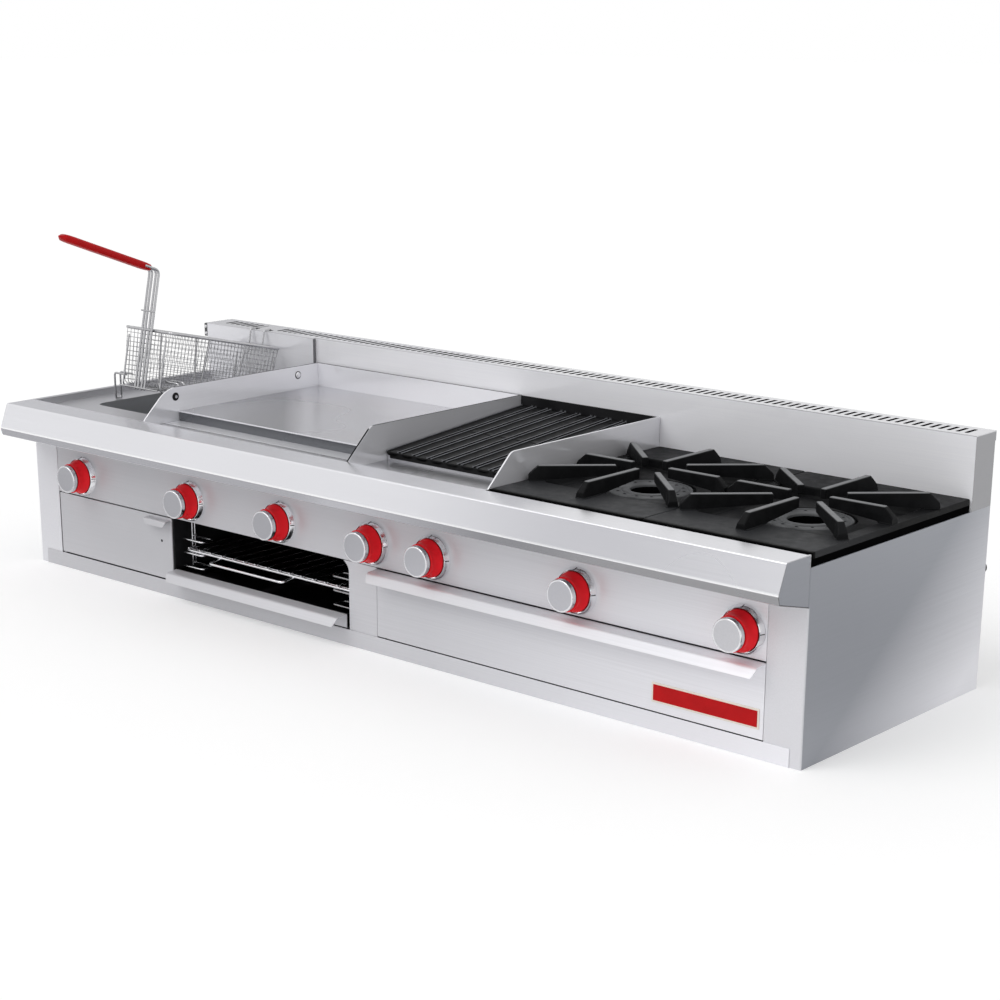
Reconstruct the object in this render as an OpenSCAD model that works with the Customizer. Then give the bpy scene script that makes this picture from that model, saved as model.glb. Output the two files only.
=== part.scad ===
// Countertop commercial gas range: fryer, griddle, charbroiler and two open burners over a broiler.
// Millimetres, +Z up. The origin is the centre of the flat base; the front faces -Y.
// Modules are drawn from the left front bottom corner of the cabinet, and placed() centres them.

/* [Cabinet] */
// Overall width
body_w = 1800; // [1740:5:1860]
// Depth from the front plane to the rear panel
body_d = 516; // [510:1:540]
// Height of the side panels
side_h = 306; // [298:1:320]
// Sheet steel thickness
sheet_t = 1.5; // [1.2:0.1:2]
// Width of a front post
post_w = 67; // [60:1:72]
// Height of the kick strip
kick_h = 30; // [26:1:34]
// Inset of the kick strip at each end
kick_inset = 20; // [5:1:40]
// Drop from the side panels' top to the control panel's lower edge
panel_drop = 154; // [150:1:160]
// Height of the beams that carry the top
frame_h = 12; // [8:1:16]
// Rise of the decks above the side panels
deck_rise = 8; // [6:1:12]
// General clearance between pieces that move apart
gap = 0.4; // [0.3:0.05:0.6]

/* [Front rail] */
// Rise of the rail's top above the side panels
rail_rise = 20; // [14:1:24]
// Depth of the rail's flat top
rail_top_d = 61.6; // [50:0.2:70]
// Furthest reach of the sloped face
rail_nose_d = 79.9; // [72:0.1:90]
// Drop from the top to the nose
rail_nose_drop = 46.2; // [40:0.2:52]
// Reach of the return's lower edge
rail_lip_d = 75.6; // [68:0.1:86]
// Drop from the top to the return's lower edge
rail_lip_drop = 59.9; // [55:0.1:64]
// Drop from the top to where the underside meets the panel
rail_root_drop = 79.3; // [72:0.1:84]

/* [Top sections] */
// Width of the fryer section
fryer_w = 333; // [325:1:345]
// Width of the griddle section
griddle_w = 536; // [520:1:545]
// Width of the charbroiler section
grill_w = 317; // [305:1:330]
// Thickness of a divider guard
guard_t = 3; // [2:0.5:4]
// Rise of the guards above the deck
guard_rise = 65; // [55:1:75]
// Run of a guard's sloped front end
guard_slope = 58; // [40:1:70]
// Distance of a guard's front bolt behind its slope
bolt_front = 22; // [14:1:40]
// Distance of a guard's rear bolt from its rear end
bolt_rear = 58; // [40:1:90]
// Distance of the griddle plate behind the front plane
plate_y = 86.5; // [80:0.5:95]
// Thickness of the griddle plate
plate_t = 19; // [12:1:25]
// Width of the ledge that carries the plate and the firebox
ledge_w = 12; // [9:1:16]

/* [Charbroiler] */
// Distance of the grate behind the front plane
grate_y = 92; // [88:1:100]
// Rise of the firebox collar above the deck
collar_rise = 10; // [8:1:14]
// Thickness of the grate slats
slat_t = 8; // [6:0.5:10]
// Number of slats
slat_n = 9; // [7:1:11]
// Gap between slats
slat_gap = 6.7; // [5:0.1:9]
// Rise of the grate from front to rear
grate_rise = 30; // [10:1:34]
// Depth of the firebox below the deck
firebox_d = 78; // [66:1:90]
// Radius of the charbroiler burner tubes
grill_tube_r = 13; // [10:0.5:15]
// Distance of a charbroiler burner tube from its section's middle
grill_tube_off = 78; // [70:1:84]
// Half width of a radiant
radiant_w = 34; // [26:1:40]

/* [Open burners] */
// Height of a burner top's skirt
top_skirt = 20.8; // [18:0.1:24]
// Wall thickness of a burner top casting
top_t = 8; // [6:0.5:10]
// Distance of the burner tops behind the front plane
top_y = 6.3; // [5:0.1:9]
// Gap between the two burner tops
top_split = 1.2; // [0.8:0.1:2]
// Width of the plate's rim beside the sunk pan
pan_edge = 24.8; // [20:0.2:30]
// Half depth of the sunk pan
pan_d = 128; // [120:1:140]
// Wall and floor of the sunk pan
pan_t = 4.4; // [4:0.1:5]
// Corner radius of the sunk pan
pan_corner = 20; // [12:1:26]
// Radius of the round opening
opening_r = 74; // [73:1:80]
// Rise of the fins above the plate
fin_rise = 25; // [18:1:32]
// Height of a fin's inner end
fin_nose = 16; // [10:1:18]
// Thickness of a fin
fin_t = 11; // [8:0.5:13]
// Inner reach of the straight fins
fin_in = 36; // [30:1:42]
// Angle of the diagonal fins from the width direction
fin_angle = 43; // [40:1:46]
// Inner reach of the diagonal fins
fin_in_diagonal = 57; // [50:1:60]
// Chamfer at a fin's outer end
fin_chamfer = 16; // [10:1:18]
// Distance of the side and diagonal fins from the plate's side edges
fin_margin = 2; // [2:1:8]
// Distance of the front and rear fins from the plate's front and rear edges
fin_margin_y = 40; // [30:1:60]
// Outer radius of a ring burner
ring_r = 70; // [64:1:72]
// Inner radius of a ring burner
ring_in_r = 33; // [28:1:36]
// Height of a ring burner
ring_h = 18; // [14:1:20]
// Number of burner ports in a ring
port_n = 12; // [8:1:16]
// Radius of a burner port
port_r = 2.6; // [2:0.1:3.2]

/* [Knobs] */
// Drop from the side panels' top to the knob axes
knob_drop = 111.4; // [108:0.2:114]
// Radius of the fixed bezel dial
bezel_r = 38.5; // [36:0.5:40]
// Thickness of the bezel dial
bezel_t = 12; // [8:0.5:14]
// Radius of the ring at the bezel
ring_base_r = 32.6; // [30:0.2:34]
// Radius of the ring at the cap
ring_nose_r = 28; // [27:0.5:30]
// Length of the ring
ring_len = 22; // [16:1:26]
// Radius of the cap
cap_r = 26.3; // [24:0.1:27]
// Length of the cap
cap_len = 11.5; // [8:0.5:14]
// Radius of the knob stem
stem_r = 4; // [3:0.1:5]
// Running clearance of the stem in its valve
stem_clear = 0.05; // [0.02:0.01:0.09]
// Offset of the fryer knob from the fryer's middle
fryer_knob_off = -18; // [-40:1:40]
// Offset of the first griddle knob from the griddle's middle
griddle_knob_left = -140; // [-180:1:-100]
// Offset of the second griddle knob from the griddle's middle
griddle_knob_right = 101; // [60:1:140]
// Offset of the broiler knob from the middle post's middle
broiler_knob_off = 26; // [10:1:30]
// Offset of the charbroiler knob from its section's middle
grill_knob_off = 42; // [30:1:50]
// Offset of the left burner knob from its burner's middle
burner_knob_left = 37; // [33:1:43]
// Offset of the right burner knob from its burner's middle
burner_knob_right = 46; // [36:1:47]

/* [Fryer] */
// Width of the well
well_w = 168; // [160:1:190]
// Distance of the well behind the front plane
well_y = 88; // [80:1:96]
// Clear space between the well and the flue
well_back = 10; // [9:0.5:12]
// Corner radius of the well
well_r = 20; // [10:1:30]
// Depth of the oil tank below the deck
tank_d = 184; // [170:1:196]
// Wall thickness of the tank
tank_t = 2; // [1.5:0.1:3]
// Width of the raised left rim
rim_w = 12; // [8:1:16]
// Radius of the fryer's burner tube
fryer_tube_r = 14; // [10:0.5:16]
// Radius of the drain pipe
drain_r = 11; // [9:0.5:13]
// Distance of the drain from the well's right wall
drain_x = 30; // [26:1:40]
// Distance of the drain behind the well's front wall
drain_y = 40; // [30:1:60]
// Radius of the thermostat bulb
bulb_r = 4; // [3:0.2:5]
// Length of the thermostat bulb
bulb_l = 150; // [120:2:180]
// Distance of the bulb behind the well's front wall
bulb_y = 50; // [30:1:80]
// Height of the bulb above the tank's bottom
bulb_z = 40; // [30:1:60]

/* [Fry basket] */
// Length of the basket
basket_l = 285; // [275:1:290]
// Width of the basket at its rim
basket_w = 146; // [138:1:150]
// Width of the basket at its bottom
basket_bottom_w = 120; // [110:1:130]
// Depth of the basket
basket_d = 106; // [98:1:112]
// Tilt of the hung basket, front up
basket_tilt = 12.7; // [11:0.1:14]
// Height of the rear rim below the flue top
basket_hang = 30; // [26:1:34]
// Mesh cell size
mesh_cell = 20; // [16:0.5:24]
// Thickness of the mesh
mesh_t = 1.4; // [1.2:0.1:2]
// Radius of the rim wire
rim_wire_r = 3; // [2.6:0.1:3.4]
// Radius of the thinner wires
wire_r = 2; // [1.6:0.1:2.2]
// Height of the handle wires above the rim
handle_h = 112; // [100:1:125]
// Length of the grip
grip_l = 240; // [220:1:260]
// Width of the grip
grip_w = 27; // [25:0.5:30]
// Thickness of the grip
grip_t = 15; // [13:0.5:17]
// Rise of the grip over its length
grip_rise = 31; // [20:1:40]
// Half the distance between the hooks
hook_x = 20; // [14:1:26]

/* [Flue] */
// Depth of the main flue riser
flue_d = 60; // [56:1:64]
// Rise of the flue above the side panels
flue_rise = 121; // [110:1:130]
// Extra depth of the fryer's flue
fryer_flue_d = 7.2; // [5:0.2:9]
// Distance of the fryer's flue from the left side
fryer_flue_x = 9; // [6:0.5:12]
// Width of the fryer's flue
fryer_flue_w = 318; // [310:1:320]
// Spacing of the louver slots
slot_pitch = 15.7; // [14:0.1:18]
// Width of a louver slot
slot_w = 4; // [3:0.1:4]
// Length of a louver slot
slot_l = 34; // [28:1:38]
// Height of the cap's rear lip
lip_h = 16; // [10:1:22]
// Overhang of the cap behind the rear panel
lip_over = 2.5; // [2:0.1:4]

/* [Fryer door] */
// Width of the fryer door with its gaps
door_w = 339; // [325:1:350]
// Depth of the door's folded edges
door_fold = 12; // [9:0.5:14]
// Gap at the door's hinged edge
door_gap = 2.5; // [2.2:0.1:3.5]
// Radius of a hinge pin
pin_r = 2; // [1.6:0.1:2.2]
// Clearance of a hinge pin in the door
pin_clear = 0.05; // [0.02:0.01:0.09]
// Width of the door's tab handle
tab_w = 62; // [50:1:90]
// Reach of the tab handle in front of the door
tab_reach = 14; // [12:0.5:20]
// Drop of the tab handle's lip
tab_drop = 12; // [10:0.5:16]

/* [Broiler] */
// Width of the broiler opening
broiler_w = 464; // [450:1:480]
// Depth of the broiler cavity
broiler_d = 438; // [420:1:440]
// Rise of the cavity's roof above the control panel's lower edge
roof_rise = 24; // [22:0.5:25]
// Height of the tray's rim
tray_z = 56; // [53:0.5:57]
// Side clearance of the tray
tray_side = 7; // [6.5:0.5:9]
// Height of the rack wires
rack_z = 90.6; // [88:0.2:96]
// Number of wires across the rack
rack_wires = 15; // [11:1:19]
// Spacing of the guide rungs
rung_pitch = 26; // [24:0.5:27]
// Reach of a guide rung into the cavity
rung_reach = 56; // [40:1:60]
// Distance of the front ladders behind the front plane
guide_front = 19; // [16:1:24]
// Distance of the rear ladders from the cavity's rear
guide_rear = 80; // [60:1:100]
// Length of a leg of the broiler burner
leg_l = 180; // [150:2:200]
// Distance of the broiler burner's legs from the cavity's walls
leg_inset = 60; // [50:1:80]
// Width of the rack's pull loop
loop_w = 196; // [150:2:240]
// Distance of the pull loop from the rack's left end
loop_off = 96; // [80:1:120]
// Reach of the rack's pull loop in front of the rack
loop_reach = 28; // [20:1:32]

/* [Drawer] */
// Height of the drawer's side walls
drawer_wall = 78; // [60:1:90]
// Depth of the drawer and the tray behind the front plane
drawer_d = 428; // [400:1:432]
// Reach of a handle flange
flange_d = 24; // [20:0.5:28]
// Extra reach of a flange's dropped edge
flange_lip_d = 9; // [6:0.5:12]
// Drop of a flange's edge
flange_drop = 18; // [14:0.5:22]
// Width of the plain badge
badge_w = 198; // [180:1:210]
// Height of the plain badge
badge_h = 32; // [26:1:36]
// Height of a runner bar
runner_t = 6; // [4:0.5:8]

/* [Gas train] */
// Radius of the manifold pipe
manifold_r = 13.35; // [12:0.05:14]
// Distance of a burner's riser behind its spud
riser_off = 70; // [60:1:80]
// Distance of the manifold's axis behind the front plane
manifold_y = 62; // [58:1:64]
// Radius of a valve body
valve_r = 14; // [12:0.5:15]
// Radius of a mixing tube
mixer_r = 12; // [9:0.5:13]
// Radius of the inlet pipe
inlet_r = 10.65; // [9:0.05:11]
// Reach of the inlet pipe behind the rear panel
inlet_reach = 32; // [20:1:40]
// Distance of the inlet pipe from the right side
inlet_x = 25; // [22:1:30]

/* [Hidden] */
$fn = 48;

steel = [0.78, 0.79, 0.81];
bright = [0.88, 0.89, 0.91];
iron = [0.17, 0.18, 0.19];
black = [0.08, 0.08, 0.09];
red = [0.78, 0.11, 0.12];
brass = [0.72, 0.58, 0.30];

// Heights
deck_z = side_h + deck_rise;
rail_z = side_h + rail_rise;
frame_z = side_h - frame_h;
flue_z = side_h + flue_rise;
panel_z = side_h - panel_drop;
knob_z = side_h - knob_drop;
roof_z = panel_z + roof_rise;
guard_z = deck_z + guard_rise;

// Depths
flue_y = body_d - flue_d;
fryer_flue_y = flue_y - fryer_flue_d;
rear_beam_y = fryer_flue_y - 3;
front_beam_y = 3;
beam_w = 14;
guard_back = flue_y - 1;
wall_y = guard_back - guard_t;

// Widths along the top
divider_1 = fryer_w;
divider_2 = divider_1 + griddle_w;
divider_3 = divider_2 + grill_w;
griddle_x0 = divider_1 + guard_t;
griddle_mid = (griddle_x0 + divider_2) / 2;
grill_x0 = divider_2 + guard_t;
grill_mid = (grill_x0 + divider_3) / 2;
tops_x0 = divider_3 + guard_t + gap;
tops_x1 = body_w - 2;
top_w = (tops_x1 - tops_x0 - top_split) / 2;
pan_w = top_w / 2 - pan_edge;
top_mid_left = tops_x0 + top_w / 2;
top_mid_right = tops_x1 - top_w / 2;
top_d = flue_y - gap * 4 - top_y;
top_mid_y = top_y + top_d / 2;
top_z0 = side_h + gap;
top_z = top_z0 + top_skirt;

// Widths along the front
door_x1 = post_w + door_w;
broiler_x0 = door_x1 + 1;
broiler_x1 = broiler_x0 + broiler_w;
drawer_x0 = broiler_x1 + post_w;
drawer_x1 = body_w - post_w;
mid_post_mid = broiler_x1 + post_w / 2;

// Knobs and burners
fryer_mid = fryer_w / 2 + 1.5;
burner_x = [griddle_mid + griddle_knob_left, griddle_mid + griddle_knob_right];
knob_x = [fryer_mid + fryer_knob_off, burner_x[0], burner_x[1], mid_post_mid + broiler_knob_off,
    grill_mid + grill_knob_off, top_mid_left + burner_knob_left, top_mid_right + burner_knob_right];
hub_r = 10;
ring_y = -bezel_t - 0.5;
cap_y = ring_y - ring_len;
valve_y0 = sheet_t;
stem_in = 22;
spud_y = manifold_y + manifold_r + 8;
riser_y = spud_y + riser_off;

// Fryer
well_x0 = fryer_mid - well_w / 2;
well_x1 = fryer_mid + well_w / 2;
well_y1 = fryer_flue_y - well_back;
tank_z = deck_z - tank_d;
fryer_tube_z = tank_z - tank_t - fryer_tube_r - 12;

// Fry basket, in its own frame: x across, y to the rear, z up from the rim
basket_y = fryer_flue_y - 9;
basket_z = flue_z - basket_hang;
handle_y = -basket_l - rim_wire_r - wire_r - 0.2;
mesh_top = -rim_wire_r - 0.1;
handle_xs = [-11, -4, 4, 11];

// Broiler
feed_y = riser_y + 40;
feed_z = roof_z - mixer_r - 2;
rail_bar_z = kick_h + 0.5;
tray_bottom = rail_bar_z + gap;
rack_rail_r = wire_r + 0.7;
rung_z = rack_z - rack_rail_r - wire_r - gap;
rack_y = 22;

// Grate
slat_pitch = (divider_3 - grill_x0 - 2) / slat_n;
slat_w = slat_pitch - slat_gap;
grate_l = wall_y - gap * 2 - grate_y;
grate_angle = asin(grate_rise / grate_l);
collar_z = deck_z + collar_rise;

// A box between two corners
module block(low, high) {
    translate(low) cube(high - low);
}

// A round bar along X, Y or Z
module bar_x(x0, x1, y, z, r) {
    translate([x0, y, z]) rotate([0, 90, 0]) cylinder(r = r, h = x1 - x0);
}
module bar_y(x, y0, y1, z, r) {
    translate([x, y0, z]) rotate([-90, 0, 0]) cylinder(r = r, h = y1 - y0);
}
module bar_z(x, y, z0, z1, r) {
    translate([x, y, z0]) cylinder(r = r, h = z1 - z0);
}

// A straight wire between two points
module wire(p, q, r) {
    d = q - p;
    len = norm(d);
    translate(p) rotate([0, acos(d[2] / len), atan2(d[1], d[0])]) cylinder(r = r, h = len, $fn = 24);
}

// A bent wire through a list of points, with a ball at each bend
module bent_wire(pts, r) {
    for (i = [0 : len(pts) - 2]) wire(pts[i], pts[i + 1], r);
    for (i = [1 : len(pts) - 2]) translate(pts[i]) sphere(r = r + 0.06, $fn = 24);
}

// The outline of a bent sheet: a path and the same path moved sideways by the thickness
function unit(v) = v / norm(v);
function left_of(p, q) = let (d = unit(q - p)) [-d[1], d[0]];
function mitre(a, b, t) = t * (a + b) / (1 + a * b);
function sheet_outline(pts, t) = let (
    n = len(pts),
    side = [for (i = [0 : n - 2]) left_of(pts[i], pts[i + 1])],
    inner = [for (i = [0 : n - 1])
        pts[i] + (i == 0 ? t * side[0] : i == n - 1 ? t * side[n - 2] : mitre(side[i - 1], side[i], t))])
    concat(pts, [for (i = [n - 1 : -1 : 0]) inner[i]]);

// A bent sheet: its path is in Y and Z, and it runs along X
module bent_sheet(pts, x0, x1) {
    translate([x0, 0, 0]) rotate([90, 0, 90]) linear_extrude(x1 - x0) polygon(sheet_outline(pts, sheet_t));
}

// A plate whose outline is in Y and Z
module side_plate(pts, x0, x1) {
    translate([x0, 0, 0]) rotate([90, 0, 90]) linear_extrude(x1 - x0) polygon(pts);
}

// A rectangle with round corners
module rounded(x0, y0, x1, y1, r) {
    for (x = [x0 + r, x1 - r]) for (y = [y0 + r, y1 - r]) translate([x, y]) circle(r);
    translate([x0 + r, y0]) square([x1 - x0 - 2 * r, y1 - y0]);
    translate([x0, y0 + r]) square([x1 - x0, y1 - y0 - 2 * r]);
}

// Moves a piece from the cabinet's corner to the part's own frame
module placed() {
    translate([-body_w / 2, -body_d / 2, 0]) children();
}

// Cabinet

module side_panel() {
    color(steel) {
        block([0, 0, 0], [sheet_t, body_d, side_h]);
        block([0, 0, 0], [post_w, sheet_t, side_h]);
    }
}
module left_side_panel() {
    side_panel();
}
module right_side_panel() {
    translate([body_w, 0, 0]) mirror([1, 0, 0]) side_panel();
}

module base_pan() {
    color(steel) block([sheet_t, sheet_t, 0], [body_w - sheet_t, body_d - sheet_t, sheet_t]);
}

module rear_panel() {
    color(steel) difference() {
        block([sheet_t, body_d - sheet_t, 0], [body_w - sheet_t, body_d, side_h]);
        bar_y(body_w - inlet_x, body_d - 5, body_d + 5, knob_z, inlet_r - inlet_step + 0.2);
    }
}

module kick_strip() {
    color(steel) block([kick_inset, -sheet_t, 0], [body_w - kick_inset, 0, kick_h]);
}

module control_panel() {
    color(steel) difference() {
        block([post_w, 0, panel_z], [body_w - post_w, sheet_t, side_h - 6]);
        for (x = knob_x) bar_y(x, -5, 5, knob_z, stem_r + 3);
    }
}

// The post between the broiler and the drawer, with the opening's cut corner
module mid_post() {
    corner_w = 13;
    corner_h = 8;
    fold = 20;
    color(steel) {
        translate([0, sheet_t, 0]) rotate([90, 0, 0]) linear_extrude(sheet_t)
            polygon([[broiler_x1, sheet_t], [drawer_x0, sheet_t], [drawer_x0, panel_z],
                [broiler_x1 - corner_w, panel_z], [broiler_x1, panel_z - corner_h]]);
        block([drawer_x0 - sheet_t, 0, sheet_t], [drawer_x0, fold, panel_z]);
    }
}

function rail_path() = [[0, side_h], [0, rail_z], [-rail_top_d, rail_z],
    [-rail_nose_d, rail_z - rail_nose_drop], [-rail_lip_d, rail_z - rail_lip_drop],
    [0, rail_z - rail_root_drop]];
module front_rail() {
    color(bright) difference() {
        bent_sheet(rail_path(), sheet_t, body_w - sheet_t);
        block([0, 0, panel_z], [body_w, sheet_t, rail_z]);
    }
    color(steel) for (x = [0, body_w - sheet_t]) side_plate(rail_path(), x, x + sheet_t);
}

module partition(x, top) {
    notch_y = spud_y;
    notch_z = roof_z + 1;
    side_plate([[sheet_t + 0.5, sheet_t], [sheet_t + 0.5, notch_z], [notch_y, notch_z], [notch_y, top],
        [rear_beam_y, top], [rear_beam_y, sheet_t]], x, x + sheet_t);
}
module bay_partitions() {
    color(steel) difference() {
        union() {
            partition(door_x1 - 1 - sheet_t + 0.8, frame_z);
            partition(mid_post_mid - sheet_t, deck_z - firebox_d - 0.5);
        }
        bar_x(mid_post_mid - 10, mid_post_mid + 10, feed_y, feed_z, mixer_r + 0.2);
    }
}

// The welded frame that carries the decks, the burner tops and the flue
module top_frame() {
    rear_y1 = flue_y + 4;
    ring_bar_z = frame_z - 8;
    ring_bar_w = 10;
    color(steel) {
        block([sheet_t, front_beam_y, frame_z], [body_w - sheet_t, front_beam_y + beam_w, side_h]);
        block([sheet_t, rear_beam_y, frame_z], [body_w - sheet_t, rear_y1, side_h]);
        for (x = [divider_1, divider_2, divider_3, (tops_x0 + tops_x1) / 2])
            block([x - 4, front_beam_y + 1, frame_z], [x + 8, rear_beam_y + 1, side_h]);
        for (y = [top_mid_y - 45, top_mid_y + 35])
            block([divider_3, y, ring_bar_z], [body_w - sheet_t, y + ring_bar_w, frame_z]);
    }
}

module fryer_deck() {
    x1 = divider_1 - 0.2;
    y1 = fryer_flue_y - 0.2;
    color(steel) difference() {
        union() {
            block([0, 0.2, side_h], [x1, y1, deck_z]);
            block([0, 0.2, deck_z - 1], [rim_w, y1, rail_z]);
        }
        block([sheet_t, 0.2 + sheet_t, side_h - 1], [x1 - sheet_t, y1 - sheet_t, deck_z - sheet_t]);
        block([sheet_t, 0.2 + sheet_t, side_h - 1],
            [rim_w - sheet_t, y1 - sheet_t, rail_z - sheet_t]);
        translate([0, 0, side_h]) linear_extrude(rail_rise)
            rounded(well_x0, well_y, well_x1, well_y1, well_r);
    }
}

module fryer_tank() {
    rim = 8;
    top = deck_z - sheet_t;
    color([0.45, 0.46, 0.48]) difference() {
        union() {
            translate([0, 0, tank_z - tank_t]) linear_extrude(top - tank_z + tank_t)
                rounded(well_x0 - tank_t, well_y - tank_t, well_x1 + tank_t, well_y1 + tank_t, well_r + tank_t);
            translate([0, 0, top - tank_t]) linear_extrude(tank_t)
                rounded(well_x0 - rim, well_y - rim, well_x1 + rim, well_y1 + tank_t + 2, well_r);
        }
        translate([0, 0, tank_z]) linear_extrude(tank_d)
            rounded(well_x0, well_y, well_x1, well_y1, well_r);
    }
}

// An upright duct, open at its top and bottom
module duct(x0, x1, y0, open_left, open_right) {
    left = open_left ? -1 : sheet_t;
    right = open_right ? -1 : sheet_t;
    difference() {
        block([x0, y0, side_h], [x1, body_d, flue_z - sheet_t]);
        block([x0 + left, y0 + sheet_t, side_h - 1], [x1 - right, body_d - sheet_t, flue_z]);
    }
}
flue_split = fryer_flue_x + fryer_flue_w;
module fryer_flue() {
    strap_h = 28;
    color(steel) duct(fryer_flue_x, flue_split, fryer_flue_y, false, false);
    color(iron) block([0, fryer_flue_y, flue_z - strap_h], [fryer_flue_x, body_d, flue_z - sheet_t]);
}
module back_splash() {
    color(bright) duct(flue_split, body_w, flue_y, true, false);
}

// The cap over both flues, with its row of slots, two hook holes and a rear lip
module louver_cap() {
    edge = 25;
    slot_y = body_d - flue_d / 2 - slot_l / 2;
    slot_count = floor((body_w - 2 * edge) / slot_pitch);
    hook_hole_r = 5;
    rear = body_d + lip_over;
    color(bright) {
        translate([0, 0, flue_z - sheet_t]) linear_extrude(sheet_t) difference() {
            union() {
                translate([fryer_flue_x, fryer_flue_y]) square([fryer_flue_w, rear - fryer_flue_y]);
                translate([flue_split - 1, flue_y]) square([body_w - flue_split + 1, rear - flue_y]);
            }
            for (i = [0 : slot_count - 1])
                if (abs(body_w - edge - slot_w - i * slot_pitch - fryer_mid) > hook_x + hook_hole_r + slot_w)
                    translate([body_w - edge - slot_w - i * slot_pitch, slot_y]) square([slot_w, slot_l]);
            for (s = [-1, 1]) translate([fryer_mid + s * hook_x, hook_end_y]) circle(hook_hole_r);
        }
        block([fryer_flue_x, rear - sheet_t, flue_z - lip_h], [body_w, rear, flue_z - sheet_t / 2]);
    }
}
hook_end_y = fryer_flue_y + 16;

// The deck in front of and under the griddle and the charbroiler, open under each
module front_deck() {
    x0 = divider_1 + 0.2;
    x1 = divider_3;
    y1 = guard_back;
    color(steel) difference() {
        block([x0, 0.2, side_h], [x1, y1, deck_z]);
        block([x0 + sheet_t, 0.2 + sheet_t, side_h - 1], [x1 - sheet_t, y1 - sheet_t, deck_z - sheet_t]);
        block([griddle_x0 + ledge_w, plate_y + ledge_w, side_h],
            [divider_2 - ledge_w, wall_y - ledge_w, deck_z + 1]);
        block([grill_x0 + ledge_w, grate_y + ledge_w + 4, side_h],
            [divider_3 - ledge_w, wall_y - ledge_w, deck_z + 1]);
    }
}

module griddle_plate() {
    side = 0.3;
    color([0.62, 0.63, 0.65])
        block([griddle_x0 + side, plate_y, deck_z], [divider_2 - side, wall_y - side, deck_z + plate_t]);
}

// Three dividers with sloped front ends, and the griddle's rear guard
module divider_guards() {
    front = 2;
    outline = [[front, deck_z], [front, rail_z], [front + guard_slope, guard_z], [guard_back, guard_z],
        [guard_back, deck_z]];
    color(bright) difference() {
        for (x = [divider_1, divider_2, divider_3]) side_plate(outline, x, x + guard_t);
        for (y = bolt_ys) bar_x(divider_1 - 1, divider_1 + guard_t + 1, y, bolt_z, bolt_r + 0.1);
    }
    color(bright) block([griddle_x0 + 0.1, wall_y, deck_z], [divider_2 - 0.1, guard_back, guard_z]);
}
bolt_r = 3;
bolt_z = deck_z + guard_rise * 0.72;
bolt_ys = [guard_slope + bolt_front, guard_back - bolt_rear];

module guard_bolts() {
    head_r = 5;
    head_t = 2.5;
    color([0.5, 0.5, 0.52]) for (y = bolt_ys) {
        bar_x(divider_1 + guard_t, divider_1 + guard_t + head_t, y, bolt_z, head_r);
        bar_x(divider_1 - 6, divider_1 + guard_t + 0.5, y, bolt_z, bolt_r);
    }
    color([0.6, 0.6, 0.62]) for (z = [flue_z - 8, flue_z - 22])
        bar_y(fryer_flue_x / 2, fryer_flue_y - 2.5, fryer_flue_y, z, 3);
}

module grill_rear_wall() {
    color(black) block([grill_x0 + 0.1, wall_y, deck_z], [divider_3 - 0.1, guard_back, guard_z - 1]);
}

// The open firebox: a collar on the deck, a box below it and two ledges for the radiants
module grill_firebox() {
    x0 = grill_x0 + 1;
    x1 = divider_3 - 1;
    y0 = grate_y + 5;
    y1 = wall_y - 0.5;
    drop = ledge_w + 1;
    floor_z = deck_z - firebox_d;
    color(steel) difference() {
        union() {
            block([x0, y0, deck_z], [x1, y1, collar_z]);
            block([x0 + drop, y0 + drop, floor_z], [x1 - drop, y1 - drop, deck_z + 1]);
        }
        block([x0 + sheet_t, y0 + sheet_t, deck_z + sheet_t], [x1 - sheet_t, y1 - sheet_t, collar_z + 1]);
        block([x0 + drop + sheet_t, y0 + drop + sheet_t, radiant_z],
            [x1 - drop - sheet_t, y1 - drop - sheet_t, collar_z]);
        block([x0 + drop + sheet_t, y0 + drop + sheet_t + radiant_ledge, floor_z + sheet_t],
            [x1 - drop - sheet_t, y1 - drop - sheet_t - radiant_ledge, radiant_z + 1]);
        bar_z(knob_x[4], riser_y, floor_z - 1, floor_z + 5, mixer_r + 0.4);
    }
}
radiant_ledge = 8;
radiant_z = deck_z - 34;
radiant_h = 26;
radiant_t = 2.5;
radiant_y0 = grate_y + 5 + ledge_w + 1 + sheet_t + 0.3;
radiant_y1 = wall_y - 0.5 - ledge_w - 1 - sheet_t - 0.3;
grill_tube_z = radiant_z - grill_tube_r - 4;
grill_tube_x = [grill_mid - grill_tube_off, grill_mid + grill_tube_off];

// Folded radiants over the charbroiler's burner tubes
module grill_radiants() {
    foot_z = radiant_z + radiant_t * radiant_w / norm([radiant_w, radiant_h]);
    color([0.35, 0.34, 0.33]) for (x = grill_tube_x) translate([x, radiant_y1, 0]) rotate([90, 0, 0])
        linear_extrude(radiant_y1 - radiant_y0) polygon(sheet_outline(
            [[radiant_w, foot_z], [0, foot_z + radiant_h], [-radiant_w, foot_z]], radiant_t));
}

// A mixing tube from a valve to a riser, which climbs to a burner
module mixer(x, y, z) {
    bar_y(x, spud_y + 0.4, y, knob_z, mixer_r);
    bar_z(x, y, min(knob_z, z), max(knob_z, z), mixer_r);
    translate([x, y, knob_z]) sphere(r = mixer_r + 0.06);
}

module grill_burner() {
    y0 = riser_y;
    y1 = radiant_y1 - radiant_ledge - 4;
    color(iron) {
        mixer(knob_x[4], riser_y, grill_tube_z);
        bar_x(grill_tube_x[0], grill_tube_x[1], y0, grill_tube_z, grill_tube_r);
        for (x = grill_tube_x) bar_y(x, radiant_y0 + radiant_ledge + 2, y1, grill_tube_z, grill_tube_r + 0.5);
    }
}

module griddle_burners() {
    z = deck_z - 52;
    y0 = plate_y + ledge_w + 14;
    y1 = wall_y - ledge_w - 8;
    tube_r = mixer_r + 3;
    color(iron) for (x = burner_x) {
        mixer(x, riser_y, z);
        bar_y(x, y0, y1, z, tube_r);
    }
}

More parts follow.
